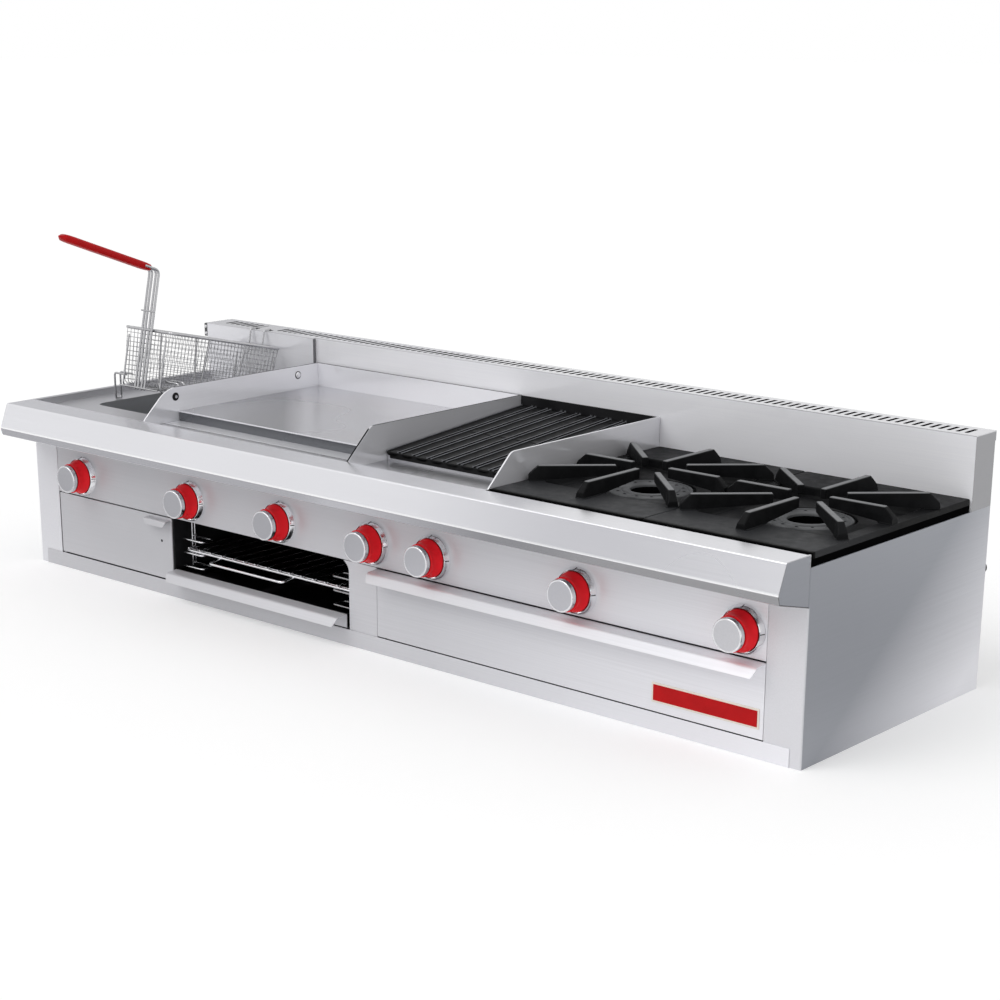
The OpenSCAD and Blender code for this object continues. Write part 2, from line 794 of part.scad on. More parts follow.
module fryer_burner() {
    y = 34;
    z1 = knob_z - valve_r - 0.3;
    drop_r = 8;
    color(iron) {
        bar_z(knob_x[0], y, fryer_tube_z, z1, drop_r);
        bar_y(knob_x[0], y - 10, well_y1 - 30, fryer_tube_z, fryer_tube_r);
    }
}

// The tube burners of the charbroiler, the griddle and the fryer
module tube_burners() {
    grill_burner();
    griddle_burners();
    fryer_burner();
}

// Two ring burners with ports, each on its mixing tube
module ring_burner(x, knob) {
    z1 = frame_z + ring_h;
    port_pcr = (ring_r + ring_in_r) / 2;
    difference() {
        translate([x, top_mid_y, frame_z]) cylinder(r = ring_r, h = ring_h);
        translate([x, top_mid_y, frame_z - 1]) cylinder(r = ring_in_r, h = ring_h + 2);
        for (i = [0 : port_n - 1]) rotate_at([x, top_mid_y], i * 360 / port_n)
            translate([x + port_pcr, top_mid_y, z1 - 4]) cylinder(r = port_r, h = 5, $fn = 24);
    }
    bar_y(knob, spud_y + 0.4, top_mid_y, knob_z, mixer_r);
    translate([knob, top_mid_y, knob_z]) sphere(r = mixer_r + 0.06);
    bar_z(knob, top_mid_y, knob_z, frame_z + 1, mixer_r);
}
module rotate_at(p, a) {
    translate([p[0], p[1], 0]) rotate(a) translate([-p[0], -p[1], 0]) children();
}
module ring_burners() {
    color([0.30, 0.31, 0.32]) {
        ring_burner(top_mid_left, knob_x[5]);
        ring_burner(top_mid_right, knob_x[6]);
    }
}

// Gas train

inlet_mid = body_w - inlet_x;
inlet_step = 0.65;
elbow_r = manifold_r + 3;
module gas_manifold() {
    color(iron) {
        bar_x(knob_x[0] - 40, inlet_mid, manifold_y, knob_z, manifold_r);
        bar_x(knob_x[0] - 46, knob_x[0] - 36, manifold_y, knob_z, elbow_r);
        block([inlet_mid - elbow_r, manifold_y - elbow_r, knob_z - elbow_r],
            [inlet_mid + elbow_r, manifold_y + elbow_r, knob_z + elbow_r]);
    }
}

// Seven valves on the manifold: each has a socket for the stem in front and a spud behind
module gas_valves() {
    spud_r = 7;
    color(brass) for (x = knob_x) {
        difference() {
            bar_y(x, valve_y0, manifold_y - 4, knob_z, valve_r);
            bar_y(x, valve_y0 - 1, stem_in + 1, knob_z, stem_r + stem_clear);
            bar_x(x - 20, x + 20, manifold_y, knob_z, manifold_r + 0.1);
        }
        if (x != knob_x[0]) difference() {
            bar_y(x, manifold_y + 4, spud_y, knob_z, spud_r);
            bar_x(x - 20, x + 20, manifold_y, knob_z, manifold_r + 0.1);
        }
    }
}

module gas_inlet() {
    color(iron) {
        bar_y(inlet_mid, manifold_y + elbow_r, body_d + 2, knob_z, inlet_r - inlet_step);
        bar_y(inlet_mid, body_d + 1, body_d + inlet_reach, knob_z, inlet_r);
    }
}

// The drain pipe under the tank with its screw cap, and the thermostat bulb on the tank's wall
module fryer_fittings() {
    x = well_x1 - drain_x;
    y = well_y + drain_y;
    z = fryer_tube_z - 10;
    drain_clear = 6;
    cap_y0 = door_fold + drain_clear;
    color(steel) {
        bar_z(x, y, z, tank_z - tank_t, drain_r);
        translate([x, y, z]) sphere(r = drain_r + 0.06);
        bar_y(x, cap_y0 + 8, y, z, drain_r);
        translate([x, cap_y0, z]) rotate([-90, 0, 0]) cylinder(r = drain_r + 5, h = 10, $fn = 6);
    }
    color(brass) bar_y(well_x0 + bulb_r + 0.1, well_y + bulb_y, well_y + bulb_y + bulb_l, tank_z + bulb_z,
        bulb_r);
}

// Knobs

module knob_bezels() {
    bore_r = hub_r + 1;
    dish = 4;
    color(bright) for (x = knob_x) translate([x, 0, knob_z]) rotate([90, 0, 0]) rotate_extrude()
        polygon([[bore_r, 0], [bezel_r, 0], [bezel_r, bezel_t - dish], [bezel_r - 2, bezel_t],
            [ring_base_r + 1.5, bezel_t - 1], [bore_r, bezel_t - dish]]);
}

module knob_ring(i) {
    color(red) translate([knob_x[i], ring_y, knob_z]) rotate([90, 0, 0]) rotate_extrude()
        polygon([[hub_r + 0.1, 0], [ring_base_r, 0], [ring_nose_r, ring_len], [hub_r + 0.1, ring_len]]);
}

module knob_cap(i) {
    edge = 1.5;
    color(steel) translate([knob_x[i], cap_y, knob_z]) rotate([90, 0, 0]) rotate_extrude()
        polygon([[0, -ring_len], [hub_r, -ring_len], [hub_r, 0], [cap_r, 0], [cap_r, cap_len - edge],
            [cap_r - edge, cap_len], [0, cap_len]]);
    color(steel) bar_y(knob_x[i], ring_y - 1, stem_in, knob_z, stem_r);
}

// Fryer door

door_x0 = post_w + door_gap;
door_right = door_x1 - 2.5;
door_z0 = kick_h + 1;
door_z1 = panel_z - 1.5;
hinge_x = door_x0 + sheet_t + pin_r + 0.5;
hinge_y = sheet_t + pin_r + 0.7;
hinge_ear = 14;
module fryer_door() {
    tab_x1 = door_right - 2;
    tab_z = door_z1 - 4;
    color(steel) {
        difference() {
            block([door_x0, 0, door_z0], [door_right, door_fold, door_z1]);
            block([door_x0 + sheet_t, sheet_t, door_z0 + sheet_t],
                [door_right - sheet_t, door_fold + 1, door_z1 - sheet_t]);
            bar_z(hinge_x, hinge_y, door_z0 - 1, door_z1 + 1, pin_r + pin_clear);
            bar_y(door_right - 29, -1, 3, (door_z0 + door_z1) / 2 + 13, 2.6);
        }
        bent_sheet([[0.3, tab_z], [-tab_reach, tab_z - 1], [-tab_reach - 2, tab_z - tab_drop]],
            tab_x1 - tab_w, tab_x1);
    }
}

// Two fixed hinge pins: one stands on the base, one hangs from a bracket on the post
module door_hinges() {
    color([0.6, 0.6, 0.62]) {
        bar_z(hinge_x, hinge_y, sheet_t, door_z0 + hinge_ear, pin_r);
        bar_z(hinge_x, hinge_y, sheet_t, door_z0 - gap, pin_r + 1.5);
        bar_z(hinge_x, hinge_y, door_z1 - hinge_ear, panel_z + 2, pin_r);
        block([hinge_x - 12, sheet_t, panel_z], [hinge_x + 6, hinge_y + 6, panel_z + 4]);
    }
}

// Broiler

// The black cavity, open in front and below, where the tray is its floor
module broiler_liner() {
    y0 = sheet_t + 0.5;
    y1 = y0 + broiler_d;
    color(black) difference() {
        block([broiler_x0, y0, sheet_t], [broiler_x1, y1, roof_z]);
        block([broiler_x0 + sheet_t, y0 - 1, sheet_t - 1],
            [broiler_x1 - sheet_t, y1 - sheet_t, roof_z - sheet_t]);
        bar_x(broiler_x1 - 5, broiler_x1 + 5, feed_y, feed_z, mixer_r + 0.2);
    }
}

// The broiler's burner under the roof, fed from the middle post's valve
module broiler_burner() {
    y = feed_y;
    z = feed_z;
    x = knob_x[3];
    left = broiler_x0 + leg_inset;
    right = broiler_x1 - leg_inset;
    color(iron) {
        bar_y(x, spud_y + 0.4, y, knob_z, mixer_r);
        translate([x, y, knob_z]) sphere(r = mixer_r + 0.06);
        bar_z(x, y, z, knob_z, mixer_r);
        bar_x(left, x, y, z, mixer_r);
        for (leg = [left, right]) bar_y(leg, y - leg_l / 2, y + leg_l / 2, z, mixer_r - 2);
    }
}

// Wire ladders on the cavity's walls: three rungs at the front and three at the rear, left and right
module guide(y) {
    x0 = broiler_x0 + sheet_t + wire_r + 0.3;
    depth = 28;
    for (dy = [depth - 3, depth + 3.5]) bar_z(x0, y + dy, sheet_t, roof_z - sheet_t, wire_r);
    for (k = [-1, 0, 1]) {
        z = rung_z + k * rung_pitch;
        bent_wire([[x0, y + depth, z], [x0 + rung_reach, y + depth, z], [x0 + rung_reach, y, z],
            [x0 + 4, y, z]], wire_r);
    }
}
module broiler_guides() {
    rear_guide = broiler_d - guide_rear;
    color([0.7, 0.7, 0.72]) for (y = [guide_front, rear_guide]) {
        guide(y);
        translate([broiler_x0 + broiler_x1, 0, 0]) mirror([1, 0, 0]) guide(y);
    }
}

// The sliding rack: a frame, wires from front to rear and a pull loop
module broiler_rack() {
    x0 = broiler_x0 + 10;
    x1 = broiler_x1 - 10;
    y0 = rack_y;
    y1 = broiler_d - 20;
    pitch = (x1 - x0 - 20) / (rack_wires - 1);
    loop_x0 = x0 + loop_off;
    loop_x1 = loop_x0 + loop_w;
    top = rack_z + 2 * wire_r;
    color([0.82, 0.82, 0.84]) {
        for (y = [y0, y0 + 7, y1]) bar_x(x0, x1, y, rack_z, rack_rail_r - 0.1);
        for (x = [x0, x1]) bar_y(x, y0, y1, rack_z, rack_rail_r);
        for (i = [0 : rack_wires - 1]) bar_y(x0 + 10 + i * pitch, y0 - 3, y1 + 3, top, wire_r);
        bent_wire([[loop_x0, y0 + 4, rack_z - 3], [loop_x0, y0 - loop_reach, rack_z - 6],
            [loop_x1, y0 - loop_reach, rack_z - 6], [loop_x1, y0 + 4, rack_z - 3]], wire_r + 0.5);
    }
}

// A handle flange bent from the top of a front: its path from the front plane
function flange_path(z) = [[-flange_d - flange_lip_d, z - flange_drop], [-flange_d, z - 2.5],
    [sheet_t, z]];

// The pull-out tray that is the broiler's floor
module broiler_tray() {
    x0 = broiler_x0 + tray_side;
    x1 = broiler_x1 - tray_side;
    color(bright) {
        difference() {
            block([x0, 0, tray_bottom], [x1, drawer_d, tray_z]);
            block([x0 + sheet_t, sheet_t, tray_bottom + sheet_t],
                [x1 - sheet_t, drawer_d - sheet_t, tray_z + 1]);
        }
        bent_sheet([for (i = [2 : -1 : 0]) flange_path(tray_z)[i]], x0, x1);
    }
}

// The wide crumb drawer under the burners
drawer_gap = 1;
module crumb_drawer() {
    x0 = drawer_x0 + drawer_gap;
    x1 = drawer_x1 - drawer_gap;
    z1 = panel_z + 1.5;
    side = 8;
    bottom = kick_h + 4 + gap;
    color(bright) {
        block([x0, 0, kick_h + 1], [x1, sheet_t, panel_z - 1]);
        difference() {
            block([x0 + side, sheet_t - 0.5, bottom], [x1 - side, drawer_d, bottom + drawer_wall]);
            block([x0 + side + sheet_t, sheet_t, bottom + sheet_t],
                [x1 - side - sheet_t, drawer_d - sheet_t, bottom + drawer_wall + 1]);
        }
        bent_sheet([for (i = [2 : -1 : 0]) flange_path(panel_z - 1)[i]], x0, x1);
    }
}

module drawer_badge() {
    badge_t = 2;
    right = 8;
    low = 46;
    color(red) block([drawer_x1 - right - badge_w, -badge_t, low], [drawer_x1 - right, 0, low + badge_h]);
}

// Runner bars on the base: a pair under the tray and a pair under the drawer
module drawer_runners() {
    y0 = 12;
    y1 = drawer_d;
    drawer_inset = 12;
    tray_inset = 8;
    color(steel) {
        for (x = [broiler_x0 + tray_inset, broiler_x1 - tray_inset - runner_t])
            block([x, y0, sheet_t], [x + runner_t, y1, rail_bar_z]);
        for (x = [drawer_x0 + drawer_inset, drawer_x1 - drawer_inset - runner_t])
            block([x, y0, sheet_t], [x + runner_t, y1, kick_h + 4]);
    }
}

// The charbroiler's grate: wide slats on three cross bars, sloped up to the rear
module grill_grate() {
    slat = [[-slat_w / 2, slat_t], [-slat_w / 4, slat_t - 1.5], [slat_w / 4, slat_t - 1.5],
        [slat_w / 2, slat_t], [slat_w / 2, slat_t * 0.55], [slat_w / 4, 0], [-slat_w / 4, 0],
        [-slat_w / 2, slat_t * 0.55]];
    tie_h = 5;
    tie_y = [18, grate_l / 2, grate_l - 24];
    tie_w = 10;
    x0 = grill_x0 + 1 + slat_pitch / 2;
    rear_foot = 10;
    color(iron) {
        translate([0, grate_y, collar_z + gap]) rotate([grate_angle, 0, 0]) {
            for (i = [0 : slat_n - 1]) translate([x0 + i * slat_pitch, grate_l, 0]) rotate([90, 0, 0])
                linear_extrude(grate_l) polygon(slat);
            for (y = tie_y) block([x0 - slat_w / 4, y, -tie_h], [x0 + (slat_n - 1) * slat_pitch + slat_w / 4,
                y + tie_w, 1]);
        }
        for (x = [grill_x0 + 5, divider_3 - 12])
            block([x, wall_y - rear_foot - 4, deck_z + sheet_t + gap],
                [x + 7, wall_y - 4, collar_z + grate_rise + 2]);
    }
}

// A cast burner top: a plate with skirts and a sunk pan, a round opening in the pan's
// floor, and eight fins that stand on the plate and reach in over the pan
module fin(angle, r0, r1, foot) {
    z0 = top_z - top_t;
    z1 = top_z + fin_rise;
    rotate(angle) translate([0, fin_t / 2, 0]) rotate([90, 0, 0]) linear_extrude(fin_t)
        polygon([[r0, z1 - fin_nose], [r0, z1], [r1 - fin_chamfer, z1], [r1, z1 - fin_chamfer],
            [r1, z0 + 2], [foot + 1, z0 + 2], [foot - 4, top_z + 1.5]]);
}
module burner_top(x0) {
    x1 = x0 + top_w;
    y1 = top_y + top_d;
    mid = [x0 + top_w / 2, top_mid_y];
    half_w = top_w / 2 - fin_margin;
    half_d = top_d / 2 - fin_margin_y;
    diagonal = (half_w - fin_t / 2 * sin(fin_angle)) / cos(fin_angle);
    pan_z = top_z0 + 0.4;
    color(iron) {
        difference() {
            union() {
                difference() {
                    block([x0, top_y, top_z0], [x1, y1, top_z]);
                    block([x0 + top_t, top_y + top_t, top_z0 - 1], [x1 - top_t, y1 - top_t, top_z - top_t]);
                }
                block([mid[0] - pan_w - pan_t, mid[1] - pan_d - pan_t, pan_z],
                    [mid[0] + pan_w + pan_t, mid[1] + pan_d + pan_t, top_z - 1]);
            }
            translate([0, 0, pan_z + pan_t]) linear_extrude(top_skirt) rounded(mid[0] - pan_w, mid[1] - pan_d,
                mid[0] + pan_w, mid[1] + pan_d, pan_corner);
            translate([mid[0], mid[1], top_z0]) cylinder(r = opening_r, h = top_skirt + 1, $fn = 72);
        }
        translate([mid[0], mid[1], 0]) {
            for (a = [0, 180]) fin(a, fin_in, half_w, pan_w);
            for (a = [90, 270]) fin(a, fin_in, half_d, pan_d);
            for (a = [fin_angle, -fin_angle, 180 - fin_angle, 180 + fin_angle])
                fin(a, fin_in_diagonal, diagonal, pan_w / cos(fin_angle));
        }
    }
}
module burner_top_left() {
    burner_top(tops_x0);
}
module burner_top_right() {
    burner_top(tops_x1 - top_w);
}

// Fry basket

module hung() {
    translate([fryer_mid, basket_y, basket_z]) rotate([-basket_tilt, 0, 0]) children();
}

// A mesh panel from a trapezium, with square gaps that keep a margin at its edges
module mesh_panel(w0, w1, h) {
    bar = mesh_t;
    lines_y = floor(h / mesh_cell);
    linear_extrude(mesh_t) difference() {
        polygon([[-w0 / 2, 0], [w0 / 2, 0], [w1 / 2, h], [-w1 / 2, h]]);
        for (j = [0 : lines_y - 1]) {
            y = (j + 0.5) * h / lines_y - mesh_cell / 2;
            w = w0 + (w1 - w0) * (j + 0.5) / lines_y;
            count = floor(min(w0, w1) / mesh_cell);
            for (i = [0 : count - 1])
                translate([(i - (count - 1) / 2) * w / count - mesh_cell / 2 + bar, y + bar])
                    square([mesh_cell - 1.6 * bar, mesh_cell - 1.6 * bar]);
        }
    }
}
basket_lean = atan2((basket_w - basket_bottom_w) / 2, basket_d);
side_h_slant = norm([(basket_w - basket_bottom_w) / 2, basket_d]);
module basket_mesh() {
    inner_w = basket_w - 2 * rim_wire_r;
    inner_b = basket_bottom_w - 2 * rim_wire_r;
    color([0.72, 0.72, 0.74]) hung() translate([0, 0, mesh_top]) {
        translate([0, -basket_l / 2, -basket_d + mesh_t]) mirror([0, 0, 1])
            translate([0, mesh_t + weld - basket_l / 2, 0])
                mesh_panel(inner_b - 2 * weld, inner_b - 2 * weld, basket_l - 2 * (mesh_t + weld));
        for (y = [0, -basket_l + mesh_t]) translate([0, y, -basket_d]) rotate([90, 0, 0])
            mesh_panel(inner_b - 2 * weld, inner_w - 2 * weld, basket_d);
        for (s = [0, 1]) mirror([s, 0, 0]) translate([inner_b / 2, -basket_l / 2, -basket_d])
            rotate([90, 0, 90]) rotate([basket_lean, 0, 0]) mesh_panel(basket_l, basket_l, side_h_slant);
    }
}

// The basket's wires, each a solid of its own: rim, hoops, rails, handle wires, braces, hooks and feet
weld = 0.2;
lean_gap = 0.7;
basket_bottom = mesh_top - basket_d - wire_r - weld;
hoop_half = basket_bottom_w / 2 - rim_wire_r + wire_r + 1.6;
rail_r = wire_r - 0.2;
rail_half = hoop_half - 5;
basket_rail_z = basket_bottom - wire_r - rail_r - weld;
cross_z = basket_rail_z + rail_r + wire_r + weld;
module basket_frame() {
    half = basket_w / 2;
    hoops = [-basket_l * 0.34, -basket_l * 0.67];
    hoop_top = -rim_wire_r - weld;
    hoop_low = basket_bottom + wire_r + lean_gap;
    hoop_out = half + 0.6;
    hoop_x = hoop_half + (hoop_out - hoop_half) * (hoop_low - basket_bottom) / (hoop_top - basket_bottom);
    rim_in = half - rim_wire_r - weld;
    brace_r = wire_r - 0.3;
    brace_y = handle_y - wire_r - brace_r - weld;
    brace_half = handle_xs[3] + 5;
    cross_y = wire_r + 0.5;
    color([0.74, 0.74, 0.76]) {
        hung() {
            for (x = [-half, half])
                wire([x, -basket_l - rim_wire_r, 0], [x, rim_wire_r, 0], rim_wire_r);
            for (y = [-basket_l, 0]) wire([-rim_in, y, 0], [rim_in, y, 0], rim_wire_r);
            for (y = hoops) {
                for (s = [-1, 1]) wire([s * hoop_x, y, hoop_low], [s * hoop_out, y, hoop_top], wire_r);
                wire([-hoop_half - wire_r, y, basket_bottom], [hoop_half + wire_r, y, basket_bottom], wire_r);
            }
            for (s = [-1, 1])
                wire([s * rail_half, -basket_l - 4.5, basket_rail_z], [s * rail_half, 4.5, basket_rail_z], rail_r);
            for (y = [-basket_l - cross_y, cross_y])
                wire([-rail_half - 3, y, cross_z], [rail_half + 3, y, cross_z], wire_r);
            for (z = [0, handle_h * 0.32])
                wire([-brace_half, brace_y, z], [brace_half, brace_y, z], brace_r);
            for (x = handle_xs) wire([x, handle_y, cross_z + wire_r + weld],
                [x, handle_y, handle_h + 3.6 - grip_under(abs(x) - wire_r)], wire_r);
        }
        for (s = [-1, 1]) {
            basket_hook(fryer_mid + s * hook_x);
            basket_foot(s, rail_half + rail_r + weld, -basket_l + 14, basket_rail_z);
        }
    }
}
module basket_grip() {
    color(red) hung() grip_shape();
}

// A hook of three straight wires: from the rear rim, over the flue's front edge, and into the cap
module basket_hook(x) {
    top = flue_z + wire_r + gap;
    rise_y = fryer_flue_y - wire_r - 1.5;
    wire([x, basket_y, basket_z + rim_wire_r + weld], [x, rise_y, top - wire_r - lean_gap], wire_r);
    wire([x, rise_y - wire_r, top], [x, hook_end_y + wire_r, top], wire_r);
    wire([x, hook_end_y, top - wire_r - weld], [x, hook_end_y, flue_z - 6], wire_r);
}

// A foot of two straight wires: out from the basket's bottom, and down to the deck beside the well
module basket_foot(s, x, y, z) {
    c = cos(basket_tilt);
    k = sin(basket_tilt);
    from = [fryer_mid + s * x, basket_y + y * c + z * k, basket_z - y * k + z * c];
    foot_x = fryer_mid + s * (well_w / 2 + 12);
    foot_r = wire_r + 0.15;
    wire(from, [foot_x + s * foot_r, from[1], from[2]], foot_r);
    wire([foot_x, from[1], from[2] - foot_r - weld], [foot_x, from[1], deck_z + gap], foot_r);
}

// The coated grip: a flat bar with round edges that rises to its tip
grip_edge = grip_t / 2 - 0.1;
function grip_under(x) = grip_t / 2 - grip_edge
    + sqrt(pow(grip_edge, 2) - pow(max(0, x - grip_w / 2 + grip_edge), 2));
module grip_shape() {
    start = [0, handle_y + 3, handle_h + 4];
    translate(start) rotate([acos(grip_rise / grip_l), 0, 0]) linear_extrude(grip_l)
        rounded(-grip_w / 2, -grip_t / 2, grip_w / 2, grip_t / 2, grip_edge);
}

placed() left_side_panel();
placed() right_side_panel();
placed() base_pan();
placed() rear_panel();
placed() kick_strip();
placed() control_panel();
placed() mid_post();
placed() front_rail();
placed() bay_partitions();
placed() top_frame();
placed() fryer_deck();
placed() fryer_tank();
placed() fryer_flue();
placed() back_splash();
placed() louver_cap();
placed() front_deck();
placed() griddle_plate();
placed() divider_guards();
placed() grill_rear_wall();
placed() grill_firebox();
placed() grill_radiants();
placed() tube_burners();
placed() ring_burners();
placed() gas_manifold();
placed() gas_valves();
placed() gas_inlet();
placed() fryer_fittings();
placed() knob_bezels();
placed() broiler_liner();
placed() broiler_burner();
placed() broiler_guides();
placed() drawer_runners();
placed() door_hinges();
placed() guard_bolts();
placed() fryer_door();
placed() broiler_rack();
placed() broiler_tray();
placed() crumb_drawer();
placed() drawer_badge();
placed() grill_grate();
placed() burner_top_left();
placed() burner_top_right();
placed() basket_frame();
placed() basket_mesh();
placed() basket_grip();
placed() knob_cap(0);  // knob_cap_1
placed() knob_cap(1);  // knob_cap_2
placed() knob_cap(2);  // knob_cap_3
placed() knob_cap(3);  // knob_cap_4
placed() knob_cap(4);  // knob_cap_5
placed() knob_cap(5);  // knob_cap_6
placed() knob_cap(6);  // knob_cap_7
placed() knob_ring(0);  // knob_ring_1
placed() knob_ring(1);  // knob_ring_2
placed() knob_ring(2);  // knob_ring_3
placed() knob_ring(3);  // knob_ring_4
placed() knob_ring(4);  // knob_ring_5
placed() knob_ring(5);  // knob_ring_6
placed() knob_ring(6);  // knob_ring_7
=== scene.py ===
"""Looks of a countertop commercial gas range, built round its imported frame.

Builders and finishes work in millimetres. make_piece and Finish turn them into the frame's metres.
"""

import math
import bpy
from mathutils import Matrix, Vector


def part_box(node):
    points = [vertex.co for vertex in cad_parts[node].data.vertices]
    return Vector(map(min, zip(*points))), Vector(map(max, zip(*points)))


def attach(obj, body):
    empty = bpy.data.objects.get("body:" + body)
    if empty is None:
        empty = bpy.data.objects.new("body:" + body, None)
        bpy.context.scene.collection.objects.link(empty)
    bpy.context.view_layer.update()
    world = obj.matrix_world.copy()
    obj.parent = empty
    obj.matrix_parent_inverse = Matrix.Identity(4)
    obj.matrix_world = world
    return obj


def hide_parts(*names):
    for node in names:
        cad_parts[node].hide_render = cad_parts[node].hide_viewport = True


bl_info = {
    "name": "Gas range looks",
    "version": (1, 0, 0),
    "blender": (4, 5, 0),
    "location": "View3D > Sidebar > Gas range",
    "description": "Dresses the frame of a countertop gas range with finished pieces",
    "category": "Object",
}

from types import SimpleNamespace

import bpy
import numpy as np
from bpy.props import FloatProperty, FloatVectorProperty, PointerProperty

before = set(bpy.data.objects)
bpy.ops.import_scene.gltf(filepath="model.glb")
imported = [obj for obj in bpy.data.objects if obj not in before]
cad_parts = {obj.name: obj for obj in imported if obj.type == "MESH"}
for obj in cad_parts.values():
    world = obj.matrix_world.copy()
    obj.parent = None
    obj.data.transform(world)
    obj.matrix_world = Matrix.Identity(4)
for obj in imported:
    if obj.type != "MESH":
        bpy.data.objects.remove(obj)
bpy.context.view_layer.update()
MM = 0.001
KNOBS = range(1, 8)
X, Y, Z = 0, 1, 2


def box(node):
    """Lowest and highest corner of a CAD node, in millimetres."""
    return np.array(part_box(node)) / MM


def middle(node, y=None, z=None):
    """Middle of a CAD node's box, with its depth or its height set anew."""
    centre = box(node).mean(0)
    centre[Y] = centre[Y] if y is None else y
    centre[Z] = centre[Z] if z is None else z
    return centre


FRONT_Y = box("control_panel")[0][Y]
SHEET = box("control_panel")[1][Y] - FRONT_Y
RAIL_DROP = 46.2  # from the rail's top to its front edge
FIN_RISE = 25  # from a burner top's plate to the top of its fins


# Sizes, colours and stage that a user would change


def number(name, description, default, **kind):
    """A number property."""
    return FloatProperty(name=name, description=description, default=default, **kind)


def length(name, description, default):
    """A length property, from millimetres."""
    return number(name, description, default * MM, min=0, unit="LENGTH", precision=4)


def angle(name, description, default):
    """An angle property, from degrees."""
    return number(name, description, math.radians(default), subtype="ANGLE")


def colour(name, description, default):
    """A linear colour property."""
    return FloatVectorProperty(
        name=name, description=description, default=default, size=3, min=0, max=1, subtype="COLOR"
    )


class RangeSizes(bpy.types.PropertyGroup):
    """Sizes of the details that are finer than the frame."""

    bend: length("Sheet bend", "Radius of a plain bend in sheet steel", 3)
    rail_bend: length("Rail bend", "Radius of the rail's upper front edge", 2.6)
    panel_gap: length("Panel gap", "Dark joint round the control panel and the kick strip", 0.8)
    seam: length("Seam edge", "Rounding of a panel's rim, which draws the seams", 0.9)
    flange_corner: length("Flange corner", "Radius of a handle flange's lower corners", 5)
    casting_edge: length("Casting edge", "Rounding of the cast iron's edges", 1.6)
    # a fin's upper face carries a painted highlight in top_iron
    fin_top: length("Fin top", "Width of a fin's rubbed upper face", 11)
    fin_foot: length("Fin foot", "Width of a fin's foot at its outer end", 19)
    net_cell: length("Net cell", "Spacing of the basket's net", 8.8)
    net_wire: length("Net wire", "Radius of the basket's net wires", 0.5)
    badge_border: length("Badge border", "Width of the badge's pale border", 3.2)
    tick_width: length("Dial tick", "Width of a mark on a dial", 1.5)


class RangeColours(bpy.types.PropertyGroup):
    """Base colours of the finishes."""

    front: colour("Front steel", "Brushed steel of the front", (0.65, 0.65, 0.68))
    rail: colour("Rail steel", "Bright steel of the rail", (0.74, 0.74, 0.77))
    satin: colour("Satin sheet", "Pale satin steel of the splash and the guards", (0.90, 0.90, 0.935))
    deck: colour("Deck steel", "Satin steel of the decks", (0.55, 0.55, 0.57))
    griddle: colour("Griddle steel", "Ground steel of the griddle plate", (0.60, 0.60, 0.625))
    tank: colour("Tank steel", "Oiled steel of the fryer's tank", (0.42, 0.43, 0.45))
    iron: colour("Cast iron", "Seasoned cast iron", (0.0070, 0.0072, 0.0078))
    enamel: colour("Black enamel", "Heat-proof black of the cavity", (0.012, 0.012, 0.013))
    ring: colour("Burner iron", "Bare iron of the burners", (0.078, 0.081, 0.085))
    wire: colour("Bright wire", "Plated wire", (0.82, 0.82, 0.84))
    chrome: colour("Chrome", "Plated knob sides and bolts", (0.80, 0.80, 0.82))
    red: colour("Red plastic", "Knob rings, grip and badge", (0.52, 0.006, 0.008))


class RangeStage(bpy.types.PropertyGroup):
    """Camera, floor and light, in metres."""

    lens: number("Lens", "Focal length in millimetres", 75.59, min=1)
    eye: FloatVectorProperty(
        name="Eye", description="Place of the camera", default=(2.4614, -2.7175, 1.0767), subtype="XYZ",
        unit="LENGTH",
    )  # fmt: skip
    turn: angle("Turn", "Camera's turn about the vertical", 42)
    pitch: angle("Pitch", "Camera's tilt from straight down", 72.5)
    shift_x: number("Shift X", "Sideways shift of the frame", 0.0323)
    shift_y: number("Shift Y", "Upward shift of the frame", 0.1592)
    fill: number("Fill light", "Strength of the room's light", 0.72, min=0)
    key: number("Key light", "Strength of the soft key lamp", 0.9, min=0)
    key_spread: angle("Key spread", "Angle that the key lamp fills", 45)
    glow: number("Floor glow", "What the floor lacks to white", 0.16, min=0)
    floor: colour("Floor", "Colour of the floor", (0.93, 0.93, 0.93))


# Surfaces


def unit(vectors):
    """The vectors scaled to length one."""
    return vectors / np.linalg.norm(vectors, axis=-1, keepdims=True)


def grid_faces(rows, cols, wrap_rows):
    """Quads between neighbouring rows and columns of a grid of points; the columns wrap round."""
    i, j = np.meshgrid(np.arange(rows if wrap_rows else rows - 1), np.arange(cols), indexing="ij")
    below = (i + 1) % rows
    beside = (j + 1) % cols
    corners = [i * cols + j, i * cols + beside, below * cols + beside, below * cols + j]
    return np.stack(corners, -1).reshape(-1, 4)


def outward(points, quads, caps):
    """A closed surface with its faces turned so that the volume inside them is positive."""
    fans = [np.stack([np.full(len(c) - 2, c[0]), c[1:-1], c[2:]], -1) for c in caps]
    triangles = np.vstack([quads[:, :3], quads[:, [0, 2, 3]]] + fans)
    a, b, c = points[triangles].transpose(1, 0, 2)
    faces = quads.tolist() + [cap.tolist() for cap in caps]
    if np.sum(a * np.cross(b, c)) < 0:
        faces = [face[::-1] for face in faces]
    return points, faces


def loft(grid, wrap_rows=False):
    """A surface through rings of points (rings, points, xyz). Rings that don't wrap get two caps."""
    rows, cols = grid.shape[:2]
    caps = [] if wrap_rows else [np.arange(cols)[::-1], np.arange(cols) + (rows - 1) * cols]
    return outward(grid.reshape(-1, 3), grid_faces(rows, cols, wrap_rows), caps)


def moved(surface, change):
    """A surface with its points changed by a function."""
    return change(surface[0]), surface[1]


